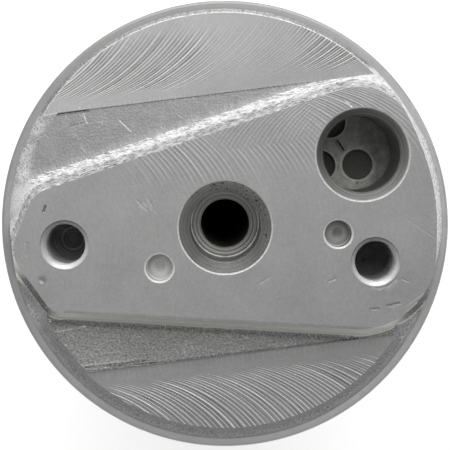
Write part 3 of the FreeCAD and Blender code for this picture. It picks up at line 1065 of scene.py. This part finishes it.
    def region(self, middle: Vector, normal: Vector) -> Region:
        """Which surface a face belongs to.

        Args:
            middle: The face's middle, in millimetres.
            normal: Its normal.

        Returns:
            The surface.
        """
        depth = self.depth_of(middle)
        if normal.z > self.level and depth < self.tolerance:
            return Region.PAD_FACE
        in_holes = (hole.region(middle, depth) for hole in self.holes)
        found = next((region for region in in_holes if region), None)
        if found:
            return found
        if depth >= self.pad_rise - self.tolerance:
            rim = depth < self.pad_rise + self.rim_height - self.tolerance
            return Region.RIM if rim else Region.UNDERSIDE
        upper = middle.y > 0
        ramp = Region.UPPER_RAMP if upper else Region.LOWER_RAMP
        if normal.z > self.level:
            flat_depth = self.upper_flat_depth if upper else self.lower_flat_depth
            flat = Region.UPPER_FLAT if upper else Region.LOWER_FLAT
            return flat if abs(depth - flat_depth) < self.tolerance else ramp
        radius = middle.to_2d().length
        if abs(radius - (self.ledge_radius - self.pad_rise + depth)) < 0.03:
            return Region.UPPER_SHOULDER if upper else Region.LOWER_SHOULDER
        outward = normal.to_2d().dot(middle.to_2d()) / radius
        if outward > self.facing and abs(middle.y) < self.end_width / 2:
            return Region.END_WALL
        if abs(normal.y) > 0.99:
            return ramp
        return Region.UPPER_WALL if normal.y > 0 else Region.LOWER_WALL

    def find_outline(self, mesh: bmesh.types.BMesh, pitch: float = 0.1) -> None:
        """Keep points along the edges round the pad's face, for distances from it.

        Args:
            mesh: The head's mesh, in millimetres.
            pitch: How far apart the points are.
        """
        inner = (Region.LIP, Region.OUTLET_SINK, Region.INLET_SINK, Region.PAD_FACE)
        inner_slots = {region.value for region in inner}
        points = []
        for edge in mesh.edges:
            slots = {face.material_index for face in edge.link_faces}
            if Region.PAD_FACE.value not in slots or slots <= inner_slots:
                continue
            start, end = edge.verts[0].co, edge.verts[1].co
            count = math.ceil(edge.calc_length() / pitch)
            points += [start.lerp(end, i / count) for i in range(count + 1)]
        self.outline = KDTree(len(points))
        for i, point in enumerate(points):
            self.outline.insert((point.x, point.y, 0), i)
        self.outline.balance()

    def from_pad(self, place: Vector) -> float:
        """Distance of a place, in plan, from the outline of the pad's face."""
        return self.outline.find((place.x, place.y, 0))[2]

    def target_edge(self, place: Vector, slots: set[int]) -> float:
        """How long an edge of the finer skin may be.

        Args:
            place: The edge's middle, in millimetres.
            slots: The material slots of its faces.

        Returns:
            The length in millimetres, short near a knock.
        """
        nearest = min(knock.away(place) - knock.width / 2 for knock in self.knocks)
        base = min(WORKED[Region(slot)] for slot in slots)
        return min(base, self.finest + self.growth * max(nearest, 0.0))

    def refine(self, mesh: bmesh.types.BMesh, rounds: int = 8) -> None:
        """Split the long edges of the top's surfaces, and leave the edges of holes alone.

        Args:
            mesh: The head's mesh, in millimetres.
            rounds: How many times the edges are gone over.
        """
        for _ in range(rounds):
            long_edges = []
            for edge in mesh.edges:
                slots = {face.material_index for face in edge.link_faces}
                if not slots <= WORKED_SLOTS:
                    continue
                middle = (edge.verts[0].co + edge.verts[1].co) / 2
                if edge.calc_length() > self.target_edge(middle, slots):
                    long_edges.append(edge)
            if not long_edges:
                return
            bmesh.ops.subdivide_edges(mesh, edges=long_edges, cuts=1)
            wide = [face for face in mesh.faces if len(face.verts) > 3]
            bmesh.ops.triangulate(mesh, faces=wide)
            inside = [
                edge
                for edge in mesh.edges
                if len(edge.link_faces) == 2
                and edge.link_faces[0].material_index == edge.link_faces[1].material_index
                and edge.link_faces[0].material_index in WORKED_SLOTS
                and edge.calc_face_angle(1.0) < 0.01
            ]
            bmesh.ops.beautify_fill(mesh, faces=mesh.faces[:], edges=inside)

    def round_end(self, place: Vector) -> Vector:
        """Wear the edge of the pad's wide end back, and spread its foot.

        Args:
            place: Where a vertex of the end is, in millimetres.

        Returns:
            Where it goes.
        """
        radius = place.to_2d().length
        if place.x < 0 or radius < self.ledge_radius - 1.2:
            return place
        share = min(1.0, self.depth_of(place) / self.pad_rise)
        shift = (self.end_worn + self.end_spread) * share - self.end_worn
        shift *= min(1.0, max(0.0, (14 - abs(place.y - 2)) / 6))
        scale = 1 + shift / radius
        return Vector((place.x * scale, place.y * scale, place.z))

    def worn(self, vertex: bmesh.types.BMVert, slots: set[int]) -> Vector:
        """Sharpen the lower wall's foot, ruffle the upper wall and press the knocks in.

        Args:
            vertex: A vertex of the top's surfaces.
            slots: The material slots of its faces.

        Returns:
            Where it goes.
        """
        place, moved = vertex.co.copy(), vertex.co.copy()
        lower = {Region.LOWER_WALL.value, Region.LOWER_RAMP.value}
        foot = slots <= lower or {Region.LOWER_WALL.value} < slots <= lower | SHOULDERS
        if foot and place.y < 0 and self.depth_of(place) < self.forged_depth + 0.01:
            depth = self.from_pad(place) / math.tan(math.radians(self.draft))
            moved.z = min(place.z, self.top - min(depth, self.forged_depth))
        if Region.UPPER_WALL.value in slots and not slots & SHOULDERS:
            slope = math.radians(self.upper_edge[1])
            out = Vector((-math.sin(slope), math.cos(slope), 0))
            along = place.dot(Vector((out.y, -out.x, 0)))
            ruffle = noise.noise(Vector((along * 0.9, place.z * 2.2, 0)))
            ruffle += 0.6 * noise.noise(Vector((along * 2.6, place.z * 4.0, 5)))
            reach = 0.03 if Region.PAD_FACE.value in slots else 0.15
            moved -= out * max(0.0, reach * (0.5 + ruffle))
        rough = {Region.UPPER_RAMP.value, Region.LOWER_RAMP.value} | SHOULDERS
        if len(slots) == 1 and slots & rough:
            lump = noise.noise(place / 2.2) + 0.5 * noise.noise(place / 0.9)
            moved -= vertex.normal * 0.012 * max(0.0, 1 + lump)
        if vertex.normal.z > 0.5:
            moved.z -= max(knock.sink(place) for knock in self.knocks)
        return moved

    def wear(self, mesh: bmesh.types.BMesh) -> None:
        """Wear the top's surfaces.

        Args:
            mesh: The head's mesh, in millimetres.
        """
        moves = []
        for vertex in mesh.verts:
            slots = {face.material_index for face in vertex.link_faces}
            if Region.END_WALL.value in slots and slots <= WORKED_SLOTS | {Region.RIM.value}:
                moves.append((vertex, self.round_end(vertex.co.copy())))
            elif slots <= WORKED_SLOTS:
                moves.append((vertex, self.worn(vertex, slots)))
        for vertex, moved in moves:
            vertex.co = moved
        mesh.normal_update()
        for face in mesh.faces:
            if face.material_index == Region.LOWER_WALL.value and face.normal.z > self.facing:
                face.material_index = Region.LOWER_RAMP.value

    def cut_thread(self, mesh: bmesh.types.BMesh, centre: tuple[float, float]) -> None:
        """Turn a tapped hole's plain wall into a thread, between its two rings of vertices.

        Args:
            mesh: The head's mesh, in millimetres.
            centre: The hole's axis.
        """
        high, low = self.top - self.thread_start, self.top - self.thread_end

        def turn_of(vertex: bmesh.types.BMVert) -> float:
            """A vertex's bearing from the hole's axis."""
            return math.atan2(vertex.co.y - centre[1], vertex.co.x - centre[0])

        def ring(height: float) -> list[bmesh.types.BMVert]:
            """The wall's vertices at a height.

            Args:
                height: The height.

            Returns:
                The vertices, in order round the wall.
            """
            on_wall = [
                v
                for v in mesh.verts
                if abs(v.co.z - height) < 0.01
                and abs((v.co.to_2d() - Vector(centre)).length - self.drill_radius) < 0.02
            ]
            return sorted(on_wall, key=turn_of)

        upper, lower = ring(high), ring(low)
        ends = set(upper) | set(lower)
        wall = [f for f in mesh.faces if set(f.verts) <= ends and abs(f.normal.z) < 0.1]
        if len(upper) != len(lower) or len(upper) < 12 or not wall:
            LOG.warning("thread at %s left plain", centre)
            return
        slot = wall[0].material_index
        bmesh.ops.delete(mesh, geom=wall, context="FACES")
        rows = round((high - low) / self.thread_pitch * 8)
        previous = upper
        for row in range(1, rows):
            height = high + (low - high) * row / rows
            current = []
            for vertex in upper:
                angle = turn_of(vertex)
                turn = (high - height) / self.thread_pitch - angle / (2 * math.pi)
                tooth = 1 - abs((turn % 1.0) * 2 - 1)
                groove = min(1.0, max(0.0, (tooth - 0.15) / 0.7))
                run = min(1.0, high - height, height - low)
                radius = self.drill_radius + self.thread_depth * groove * run
                x = centre[0] + radius * math.cos(angle)
                y = centre[1] + radius * math.sin(angle)
                current.append(mesh.verts.new((x, y, height)))
            self.join_rings(mesh, previous, current, slot)
            previous = current
        self.join_rings(mesh, previous, lower, slot)

    @staticmethod
    def join_rings(
        mesh: bmesh.types.BMesh,
        upper: list[bmesh.types.BMVert],
        lower: list[bmesh.types.BMVert],
        slot: int,
    ) -> None:
        """Close the wall between two rings of as many vertices.

        Args:
            mesh: The head's mesh.
            upper: The upper ring.
            lower: The lower ring.
            slot: The wall's material slot.
        """
        for i in range(len(upper)):
            j = (i + 1) % len(upper)
            face = mesh.faces.new((upper[i], upper[j], lower[j], lower[i]))
            face.material_index = slot

    def build(self) -> bpy.types.Object:
        """Build the head's finer mesh.

        Returns:
            The new piece, which stands for the head's node.
        """
        mesh = bmesh.new()
        mesh.from_mesh(self.source.data)
        mesh.transform(self.source.matrix_world)
        mesh.transform(Matrix.Scale(1 / MM, 4))
        bmesh.ops.remove_doubles(mesh, verts=mesh.verts[:], dist=1e-4)
        bmesh.ops.recalc_face_normals(mesh, faces=mesh.faces[:])
        mesh.normal_update()
        for face in mesh.faces:
            face.material_index = self.region(face.calc_center_median(), face.normal).value
        self.find_outline(mesh)
        for centre in (self.outlet_bolt, self.inlet_bolt):
            self.cut_thread(mesh, centre)
        self.refine(mesh)
        mesh.normal_update()
        self.wear(mesh)
        bmesh.ops.recalc_face_normals(mesh, faces=mesh.faces[:])
        mesh.transform(Matrix.Scale(MM, 4))
        data = bpy.data.meshes.new("head_skin")
        for face in mesh.faces:
            face.smooth = True
        mesh.to_mesh(data)
        mesh.free()
        data.attributes.remove(data.attributes["custom_normal"])
        data.set_sharp_from_angle(angle=math.radians(self.sharp_from))
        LOG.info("head: %d triangles", len(data.polygons))
        return new_piece("head_dressed", data, "head")

    def milled(self) -> dict[Region, Finish]:
        """The finishes of the faces that a face mill cut.

        Returns:
            The finish of each such region.
        """
        everywhere, never = (-99.0, -98.0), (99.0, 98.0)
        return {
            Region.PAD_FACE: MilledFinish(
                "pad_face", 0.47, 0.4, 21.0, 0.862, (6.0, 11.0), never, (-18.0, -6.0), 1.0,
                0.06, 0.4, 0.6, 0.1, (-0.0009, 0.0),
                marks=Mark.rows(
                    (-31.3, -5.2, -31.1, -4.9, 1.3, -0.1), (-20.6, -6.72, -20.5, -6.7, 0.4, 0.05),
                    (-17.79, -7.07, -17.7, -7.1, 0.4, 0.05), (-12.9, 5.6, -12.6, 5.0, 0.4, 0.12),
                    (-13.6, 5.2, -13.2, 4.6, 0.3, 0.08), (-11.9, 4.6, -11.2, 3.8, 0.3, 0.08),
                    (22.31, 18.39, 23.19, 17.37, 0.3, 0.3), (-29.1, 7.2, -29.6, 6.2, 0.4, -0.25),
                    # Painted shade: the next, long dark mark runs along the pad's lower edge, which
                    # faces away from the light.
                    (-28.0, -10.9, 26.0, -20.65, 0.8, -0.1),
                    (25.2, -16.25, 27.15, -15.95, 0.4, -0.16),
                    (22.4, -16.5, 23.6, -16.5, 0.4, -0.14), (28.0, -16.9, 31.4, -15.0, 0.3, 0.12),
                    (28.6, -17.6, 30.4, -17.0, 0.3, 0.15), (29.5, -18.6, 33.6, -14.4, 1.6, -0.07),
                    (22.96, -12.84, 24.08, -13.31, 0.25, 0.08),
                    (24.08, -13.31, 25.78, -13.10, 0.25, 0.14),
                    (25.78, -13.10, 27.24, -12.10, 0.25, 0.14),
                ),
            ),
            Region.UPPER_FLAT: MilledFinish(
                "upper_flat", 0.52, 54.4, 31.5, 0.855, (23.2, 25.5), (34.5, 31.0), everywhere,
                1.5, 0.3, 0.5, tilt=(-0.0035, 0.0), roughness=0.45,
            ),
            Region.LOWER_FLAT: MilledFinish(
                "lower_flat", 0.47, -47.3, 24.0, 0.885, (-24.3, -26.8), (-99, -31.0), everywhere,
                1.6, 0.24, 0.8,
            ),
        }

    def forged(self) -> dict[Region, Finish]:
        """The finishes of the walls, ramps, shoulders and edges.

        Returns:
            The finish of each such region.
        """
        (upper, upper_slope), (lower, lower_slope) = self.upper_edge, self.lower_edge
        top = self.top
        return {
            Region.UPPER_RAMP: ForgedFinish(
                "upper_ramp", 0.42, 0.4, 0.016, 0.07, 0.12, 0.4, roughness=0.45,
                # Painted highlight: the two light bands along the pad's upper edge stand for light
                # caught at the foot of the pad's upper wall. Painted shade: the dark band at Y 22.2
                # runs along the step down to the upper flat.
                bands=(
                    Band(upper, upper_slope, 1.4, 2.1, 0.36, 0.5),
                    Band(upper, upper_slope, 1.8, 4.0, 0.2, 1.1),
                    Band(22.2, 0.0, 0.02, 0.25, -0.2, 0.15),
                ),
                # Painted highlight: the light patches at the ramp's two ends stand for light on its
                # rounded slopes.
                patches=(
                    (-30.0, 20.6, 3.0, 0.35), (-32.2, 17.0, 2.6, 0.3), (-33.0, 11.5, 3.5, 0.25),
                    (29.4, 18.9, 4.5, 0.3),
                ),
                marks=Mark.rows(
                    (-27.3, 21.9, -20.5, 22.0, 0.35, -0.25), (15.9, 21.4, 22.3, 21.9, 0.35, -0.3),
                    (15.9, 21.0, 21.3, 21.4, 0.25, 0.4), (-21.2, 21.7, -20.9, 20.1, 0.3, 0.25),
                    (-15.4, 19.8, -13.7, 17.7, 0.25, 0.25),
                ),
            ),
            Region.LOWER_RAMP: ForgedFinish(
                "lower_ramp", 0.41, 0.4, 0.05, 0.18, 0.3, 0.6, warmth=0.004,
                # Painted shadow: the two dark bands run along the foot of the pad's lower wall.
                bands=(
                    Band(lower - 2.3, lower_slope, 0.15, 0.5, -0.1, 0.15),
                    Band(lower - 2.0, lower_slope, 0.5, 4.0, -0.05, 1.0),
                ),
                patches=((-34.0, -8.0, 5.0, -0.06), (-26.0, -20.0, 9.0, 0.05)),
                # Painted shade: the first two marks are dark lines along the step down to the lower
                # flat.
                marks=Mark.rows(
                    (-27.0, -21.6, 20.0, -21.65, 0.3, -0.14),
                    (-27.0, -20.9, -16.0, -21.0, 0.3, -0.16),
                    (-27.0, -20.5, -19.0, -20.7, 0.2, 0.2), (-31.4, -14.3, -25.6, -14.0, 0.3, 0.2),
                    (-30.9, -17.0, -29.0, -16.7, 0.3, 0.2),
                    (-33.6, -11.8, -31.4, -12.3, 0.4, -0.15),
                ),
            ),
            Region.UPPER_WALL: ForgedFinish(
                "upper_wall", 0.55, 0.45, 0.12, 0.5, 0.2, 0.0, 3.0,
                # Painted highlight: the fade lightens the wall toward its foot, where the light
                # falls on the root fillet.
                patches=((-35.5, 5.0, 7.0, -0.15),), fades=(Fade(top - 3.3, top - 4.3, 0.35),),
                roughness=0.45, metallic=0.3, warmth=0.0,
            ),
            # Painted light: the lower wall faces away from the light and gets a light grey to make
            # up for it, and its fade is a painted highlight line along its foot. Painted shade: its
            # patches darken its ends, and its mark is a dark line along the pad's lower edge.
            Region.LOWER_WALL: ForgedFinish(
                "lower_wall", 0.78, 0.3, 0.01, 0.07, 0.0, 0.0, 14.0,
                patches=(
                    (-34.5, -8.0, 8.0, -0.5), (-33.3, -8.0, 6.0, -0.35), (34.0, -16.0, 9.0, -0.55),
                    (30.5, -19.0, 6.0, -0.4),
                ),
                fades=(Fade(top - 3.9, top - 4.5, 0.5),),
                marks=Mark.rows((-28.0, -10.9, 26.0, -20.65, 0.8, -0.12)),
                roughness=0.6, metallic=0.1, warmth=0.03,
            ),
            Region.END_WALL: ForgedFinish(
                "end_wall", 0.38, 0.45, 0.06, 0.36, 0.3, roughness=0.4, metallic=0.3, warmth=0.0,
                # Painted light and shade: the light patches toward the upper right and the dark one
                # at the lower right stand for light on the end's upward side and shade on its
                # downward side.
                patches=(
                    (37.0, 6.0, 22.0, 0.3), (29.0, 18.0, 7.0, 0.4), (-35.0, -4.0, 9.0, -0.2),
                    (-35.5, 3.0, 6.0, -0.1), (33.0, -14.0, 8.0, -0.2),
                ),
            ),
            Region.UPPER_SHOULDER: ForgedFinish(
                "upper_shoulder", 0.42, 0.4, 0.05, 0.16, 0.15, 0.4, warmth=0.0,
                # Painted highlight: the light band along the pad's upper edge and the light patches
                # stand for light on the shoulder's upward slopes.
                bands=(Band(upper, upper_slope, 1.2, 2.6, 0.36, 0.8),),
                patches=(
                    (-30.5, 21.0, 3.4, 0.4), (-32.6, 17.0, 3.0, 0.35), (-33.0, 14.0, 3.0, 0.25),
                    (-33.4, 11.5, 3.5, 0.3), (-34.6, 6.5, 4.0, 0.4), (31.0, 18.0, 8.0, 0.6),
                    (0.0, 37.0, 34.0, 0.1),
                ),
                # Painted highlight: the first fade is a thin bright line along the upper flat's
                # outer edge. The second darkens the shoulder a little toward the ledge.
                fades=(Fade(top - 7.05, top - 6.85, 0.5, 22.3), Fade(top - 5.8, top - 7.3, -0.06)),
            ),
            # Painted shade: a darker grey than the upper shoulder's, for the half of the same cone
            # that faces away from the light.
            Region.LOWER_SHOULDER: ForgedFinish(
                "lower_shoulder", 0.32, 0.4, 0.03, 0.1, 0.1, 0.2, warmth=0.0,
                patches=((-34.6, -11.4, 3.4, 0.16), (30.0, -20.5, 6.0, 0.08)),
                fades=(Fade(top - 6.2, top - 7.2, 0.16),),
            ),
            Region.LIP: ForgedFinish(
                "broken_edges", 0.92, 0.4, 0.01, 0.25, 0.2,
                roughness=0.3, metallic=0.2, warmth=0.0,
            ),
        }

    def turned(self) -> dict[Region, Finish]:
        """The finishes of the rim, the holes and the underside.

        Returns:
            The finish of each such region.
        """
        axis = (0.0, 0.0)
        thread = {"shade_depths": (self.top - 9.0, self.top - 3.0), "metallic": 0.2}
        locator = {"roughness": 0.45, "metallic": 0.4, "warmth": 0.01}
        # Painted light: the countersinks' tilt makes them lighter toward the picture's bottom, the
        # side that faces the light.
        sink = (0.8, 0.02, 0.0, 0.6, (0.0, -0.09))
        return {
            # Painted light and shade: the rim's tilt makes its ledge darker toward the picture's
            # top, against the overhead lamp's highlight there, and lighter toward its bottom.
            Region.RIM: TurnedFinish(
                "turned_rim", 0.54, axis, 0.2, 0.004, 0.0, 0.04, (0.001, -0.003), roughness=0.55
            ),
            # Painted light and shade: the tilts make the ports' seats, the outlet's floor and the
            # locating holes lighter on one side than on the other.
            Region.OUTLET_SEAT: TurnedFinish(
                "outlet_seat", 0.42, axis, 0.4, 0.02, 0.75, 0.24, (0.002, 0.018), warmth=0.015
            ),
            # Painted highlight: the light ring on the outlet's floor.
            Region.OUTLET_FLOOR: TurnedFinish(
                "outlet_floor", 0.42, axis, 0.5, 0.02, 0.05, 0.15, (0.0, 0.02),
                highlight_ring=(5.7, 5.88), warmth=0.02,
            ),
            Region.INLET_SEAT: TurnedFinish(
                "inlet_seat", 0.46, self.inlet, 0.7, 0.01, 0.2, 0.25, (0.008, -0.018),
                warmth=0.008,
            ),
            Region.INLET_BORE: TurnedFinish("inlet_bore", 0.3, self.inlet, 0.35, 0.008, 0.2),
            # Painted light and shade: the threads get a light grey for their lit flanks, darkening
            # deeper down the hole, and the outlet's has a painted highlight ring too.
            Region.OUTLET_THREAD: TurnedFinish(
                "outlet_thread", 0.9, self.outlet_bolt, 0.9, 0.004, 0.0, 0.25,
                highlight_ring=(1.75, 2.1), **thread,
            ),
            Region.INLET_THREAD: TurnedFinish(
                "inlet_thread", 0.8, self.inlet_bolt, 0.9, 0.004, 0.0, 0.08, **thread
            ),
            Region.OUTLET_LOCATOR: TurnedFinish(
                "outlet_locator", 0.7, self.outlet_locator, 0.8, 0.03, 0.1, 0.3, (0.03, -0.03),
                **locator,
            ),
            Region.INLET_LOCATOR: TurnedFinish(
                "inlet_locator", 0.42, self.inlet_locator, 0.8, 0.03, 0.1, 0.25, (-0.02, -0.01),
                **locator,
            ),
            Region.UNDERSIDE: TurnedFinish("underside", 0.5, axis, 0.25, 0.005),
            Region.OUTLET_SINK: TurnedFinish(
                "outlet_sink", 0.6, self.outlet_bolt, *sink, metallic=0.3
            ),
            Region.INLET_SINK: TurnedFinish(
                "inlet_sink", 0.6, self.inlet_bolt, *sink, metallic=0.3
            ),
        }

    def dress(self, piece: bpy.types.Object) -> None:
        """Give each surface its finish, in the order of the regions.

        Args:
            piece: The head's finer piece.
        """
        finishes = self.milled() | self.forged() | self.turned()
        for region in Region:
            piece.data.materials.append(finishes[region].material())


@dataclass
class HeadWeld:
    """The weld bead round the can's mouth, with the ripples that each pool leaves.

    Attributes:
        mouth: The height of the can's mouth.
        can_radius: The can's radius.
        bevel: The width of the groove that the weld fills.
        crown: How far the bead stands out.
        ripples: How many ripples it has.
        rows: How many faces it has across its crown.
        columns: How many faces it has round the can.
        ripple_depth: How deep the ripples are.
    """

    mouth: float
    can_radius: float
    bevel: float = 1.2
    crown: float = 0.8
    ripples: int = 132
    rows: int = 12
    columns: int = 1056
    ripple_depth: float = 0.14

    def section(self) -> list[tuple[float, float]]:
        """The bead's section.

        Returns:
            Its (radius, height) points, from the groove's root round the crown.
        """
        bow = (self.bevel**2 + self.crown**2) / (2 * self.crown)
        centre = self.can_radius + self.crown - bow
        half = math.asin(self.bevel / bow)
        points = [(self.can_radius - self.bevel, self.mouth)]
        for i in range(self.rows + 1):
            angle = -half + 2 * half * i / self.rows
            points.append((centre + bow * math.cos(angle), self.mouth + bow * math.sin(angle)))
        return points

    def build(self) -> bpy.types.Object:
        """Build the bead.

        Returns:
            The new piece, which stands for the weld's node.
        """
        mesh = bmesh.new()
        section = self.section()
        rings = []
        for column in range(self.columns):
            angle = 2 * math.pi * column / self.columns
            ring = []
            for radius, height in section:
                share = max(0.0, (radius - self.can_radius) / self.crown)
                bend = (height - self.mouth) ** 2 * 0.35
                phase = column / self.columns * self.ripples + bend
                uneven = noise.noise(Vector((math.cos(angle), math.sin(angle), 0)) * 6)
                dip = 0.5 - 0.5 * math.cos(2 * math.pi * phase)
                inward = self.ripple_depth * share * (dip + 0.5 * abs(uneven))
                reach = (radius - inward) * MM
                ring.append(
                    mesh.verts.new((reach * math.cos(angle), reach * math.sin(angle), height * MM))
                )
            rings.append(ring)
        count = len(section)
        for column, ring in enumerate(rings):
            following = rings[(column + 1) % self.columns]
            for i in range(count):
                j = (i + 1) % count
                mesh.faces.new((ring[i], following[i], following[j], ring[j])).smooth = True
        bmesh.ops.recalc_face_normals(mesh, faces=mesh.faces[:])
        data = bpy.data.meshes.new("head_weld_bead")
        mesh.to_mesh(data)
        mesh.free()
        return new_piece("head_weld_rippled", data, "head_weld")

    def dress(self, piece: bpy.types.Object) -> None:
        """Give the bead its finish.

        Args:
            piece: The bead's piece.
        """
        finish = ForgedFinish(
            "weld_bead", 0.62, 0.5, 0.01, 0.06, 0.12, roughness=0.32, metallic=0.9
        )
        piece.data.materials.append(finish.material())


@dataclass
class Interior:
    """The pieces that keep their solids and get a finish: can, tube, plates and the filter stack.

    Attributes:
        nodes: The frame's nodes by name.
        finishes: Their finishes.
    """

    nodes: dict[str, bpy.types.Object]
    finishes: dict[str, Finish] = field(
        default_factory=lambda: {
            "can": DrawnFinish("can_wall", 0.52),
            "pickup_tube": DrawnFinish("tube_wall", 0.55, 0.3),
            "strainer_cage": MouldedFinish("strainer_cage", 0.72),
            "strainer_mesh": ClothFinish("strainer_mesh", 0.6, 0.35, True),
            "upper_plate": PlateFinish(
                "upper_plate",
                0.6,
                ((24.61, 7.06, 2.85), (20.71, 15.05, 2.8), (18.04, 7.66, 2.8)),
                marks=Mark.rows(
                    (21.6, 11.65, 22.0, 10.9, 0.35, -0.5), (22.12, 10.65, 22.5, 9.9, 0.35, -0.5),
                    (21.2, 11.4, 22.1, 9.7, 0.18, -0.3), (24.22, 3.9, 24.24, 3.92, 0.5, -0.4),
                    # Painted shadow: the next, wide dark mark darkens the plate's right side, under
                    # the edge of the head's inlet.
                    (29.6, 13.0, 30.2, 5.0, 7.0, -0.16),
                ),
            ),
            "upper_felt": ClothFinish("upper_felt", 0.2, 0.5, False),
            "upper_scrim": ClothFinish("upper_scrim", 0.5, 0.5, True),
            "desiccant_bed": BeadFinish("desiccant_bed", 0.5, 2.2),
            "lower_scrim": ClothFinish("lower_scrim", 0.5, 0.5, True),
            "lower_felt": ClothFinish("lower_felt", 0.6, 0.5, False),
            "lower_plate": PlateFinish("lower_plate", 0.1),
            "spring": DrawnFinish("spring_wire", 0.3, 0.3),
        }
    )

    def dress(self) -> None:
        """Give every piece its finish, in its own material slots."""
        for name, finish in self.finishes.items():
            node = self.nodes[name]
            material = finish.material()
            if not node.material_slots:
                node.data.materials.append(material)
            for slot in node.material_slots:
                slot.material = material
            LOG.info("dressed %s", name)


@dataclass
class Studio:
    """The floor, the lights and the camera.

    Attributes:
        ledge: The height of the rim's ledge, where the camera aims.
        turn: How far the part's +X points above the picture's right, in degrees.
        camera_height: The camera's height above the floor.
        camera_x: The camera's X.
        camera_y: The camera's Y.
        focal_mm: The lens.
        sensor_mm: The width of its sensor.
        floor_half: Half the floor's side.
    """

    ledge: float
    turn: float = 7.0
    camera_height: float = 470.0
    camera_x: float = 0.96
    camera_y: float = 16.0
    focal_mm: float = 140.2
    sensor_mm: float = 36.0
    floor_half: float = 3000.0

    def picture_up(self) -> Vector:
        """The picture's upward direction in the part's frame, as a unit vector."""
        angle = math.radians(self.turn)
        return Vector((math.sin(angle), math.cos(angle), 0.0))

    def picture_right(self) -> Vector:
        """The picture's rightward direction in the part's frame."""
        up = self.picture_up()
        return Vector((up.y, -up.x, 0.0))

    def build_floor(self) -> None:
        """Lay a plain white floor."""
        half = self.floor_half * MM
        mesh = bpy.data.meshes.new("floor")
        corners = [(-half, -half, 0), (half, -half, 0), (half, half, 0), (-half, half, 0)]
        mesh.from_pydata(corners, [], [(0, 1, 2, 3)])
        floor = bpy.data.objects.new("floor", mesh)
        bpy.context.scene.collection.objects.link(floor)
        white = {
            "Base Color": (0.9, 0.9, 0.9, 1),
            "Roughness": 0.8,
            "Emission Color": (1, 1, 1, 1),
            "Emission Strength": 0.6,
        }
        mesh.materials.append(Graph("white_floor").finished(white))

    def add_softbox(
        self,
        name: str,
        elevation: float,
        bearing: float,
        distance: float,
        size: tuple[float, float],
        power: float,
    ) -> None:
        """Hang a soft rectangular light that faces the head.

        Args:
            name: The light's name.
            elevation: Its height above the ledge's plane, in degrees.
            bearing: Its bearing from the picture's up, clockwise, in degrees.
            distance: Its distance from the head, in millimetres.
            size: Its width and height, in millimetres.
            power: Its power in watts.
        """
        light = bpy.data.lights.new(name, "AREA")
        light.shape = "RECTANGLE"
        light.size = size[0] * MM
        light.size_y = size[1] * MM
        light.energy = power
        lamp = bpy.data.objects.new(name, light)
        bpy.context.scene.collection.objects.link(lamp)
        tilt, turn = math.radians(elevation), math.radians(bearing)
        level = self.picture_up() * math.cos(turn) + self.picture_right() * math.sin(turn)
        away = level * math.cos(tilt) + Vector((0, 0, math.sin(tilt)))
        lamp.location = Vector((0, 0, self.ledge * MM)) + away * distance * MM
        lamp.rotation_euler = (-away).to_track_quat("-Z", "Y").to_euler()

    def light(self) -> None:
        """Light the part from the picture's top, with a soft fill all round."""
        world = bpy.data.worlds.new("studio_air")
        bpy.context.scene.world = world
        world.use_nodes = True
        background = world.node_tree.nodes["Background"]
        background.inputs["Color"].default_value = (1, 1, 1, 1)
        background.inputs["Strength"].default_value = 0.3
        self.add_softbox("key", 28, 0, 700, (700, 320), 3.0)
        self.add_softbox("overhead", 65, 10, 900, (500, 400), 1.5)
        self.add_softbox("near", 64, 0, 220, (80, 60), 0.02)

    def add_camera(self) -> None:
        """Set the camera above the head, aimed at the middle of the ledge's plane."""
        data = bpy.data.cameras.new("camera")
        data.lens = self.focal_mm
        data.sensor_width = self.sensor_mm
        data.clip_start = 0.01
        camera = bpy.data.objects.new("camera", data)
        bpy.context.scene.collection.objects.link(camera)
        eye = Vector((self.camera_x, self.camera_y, self.camera_height)) * MM
        forward = (Vector((0, 0, self.ledge * MM)) - eye).normalized()
        right = forward.cross(self.picture_up()).normalized()
        up = right.cross(forward)
        turn = Matrix((right, up, -forward)).transposed()
        camera.matrix_world = Matrix.Translation(eye) @ turn.to_4x4()
        bpy.context.scene.camera = camera

    def build(self) -> None:
        """Set up floor, lights, camera and a plain view transform."""
        self.build_floor()
        self.light()
        self.add_camera()
        bpy.context.scene.view_settings.view_transform = "Standard"


def main() -> None:
    """Build and dress the part, and set up its studio."""
    logging.basicConfig(level=logging.INFO, format="%(message)s")
    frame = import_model()
    nodes = frame["nodes"]
    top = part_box("head")[1][2] / MM
    can_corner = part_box("can")[1]

    head = Head(nodes["head"], top)
    head.dress(head.build())
    LOG.info("head dressed")

    weld = HeadWeld(can_corner[2] / MM, can_corner[0] / MM)
    weld.dress(weld.build())
    LOG.info("weld bead built")

    Interior(nodes).dress()
    Studio(top - head.pad_rise).build()
    LOG.info("studio built")


if __name__ == "__main__":
    main()
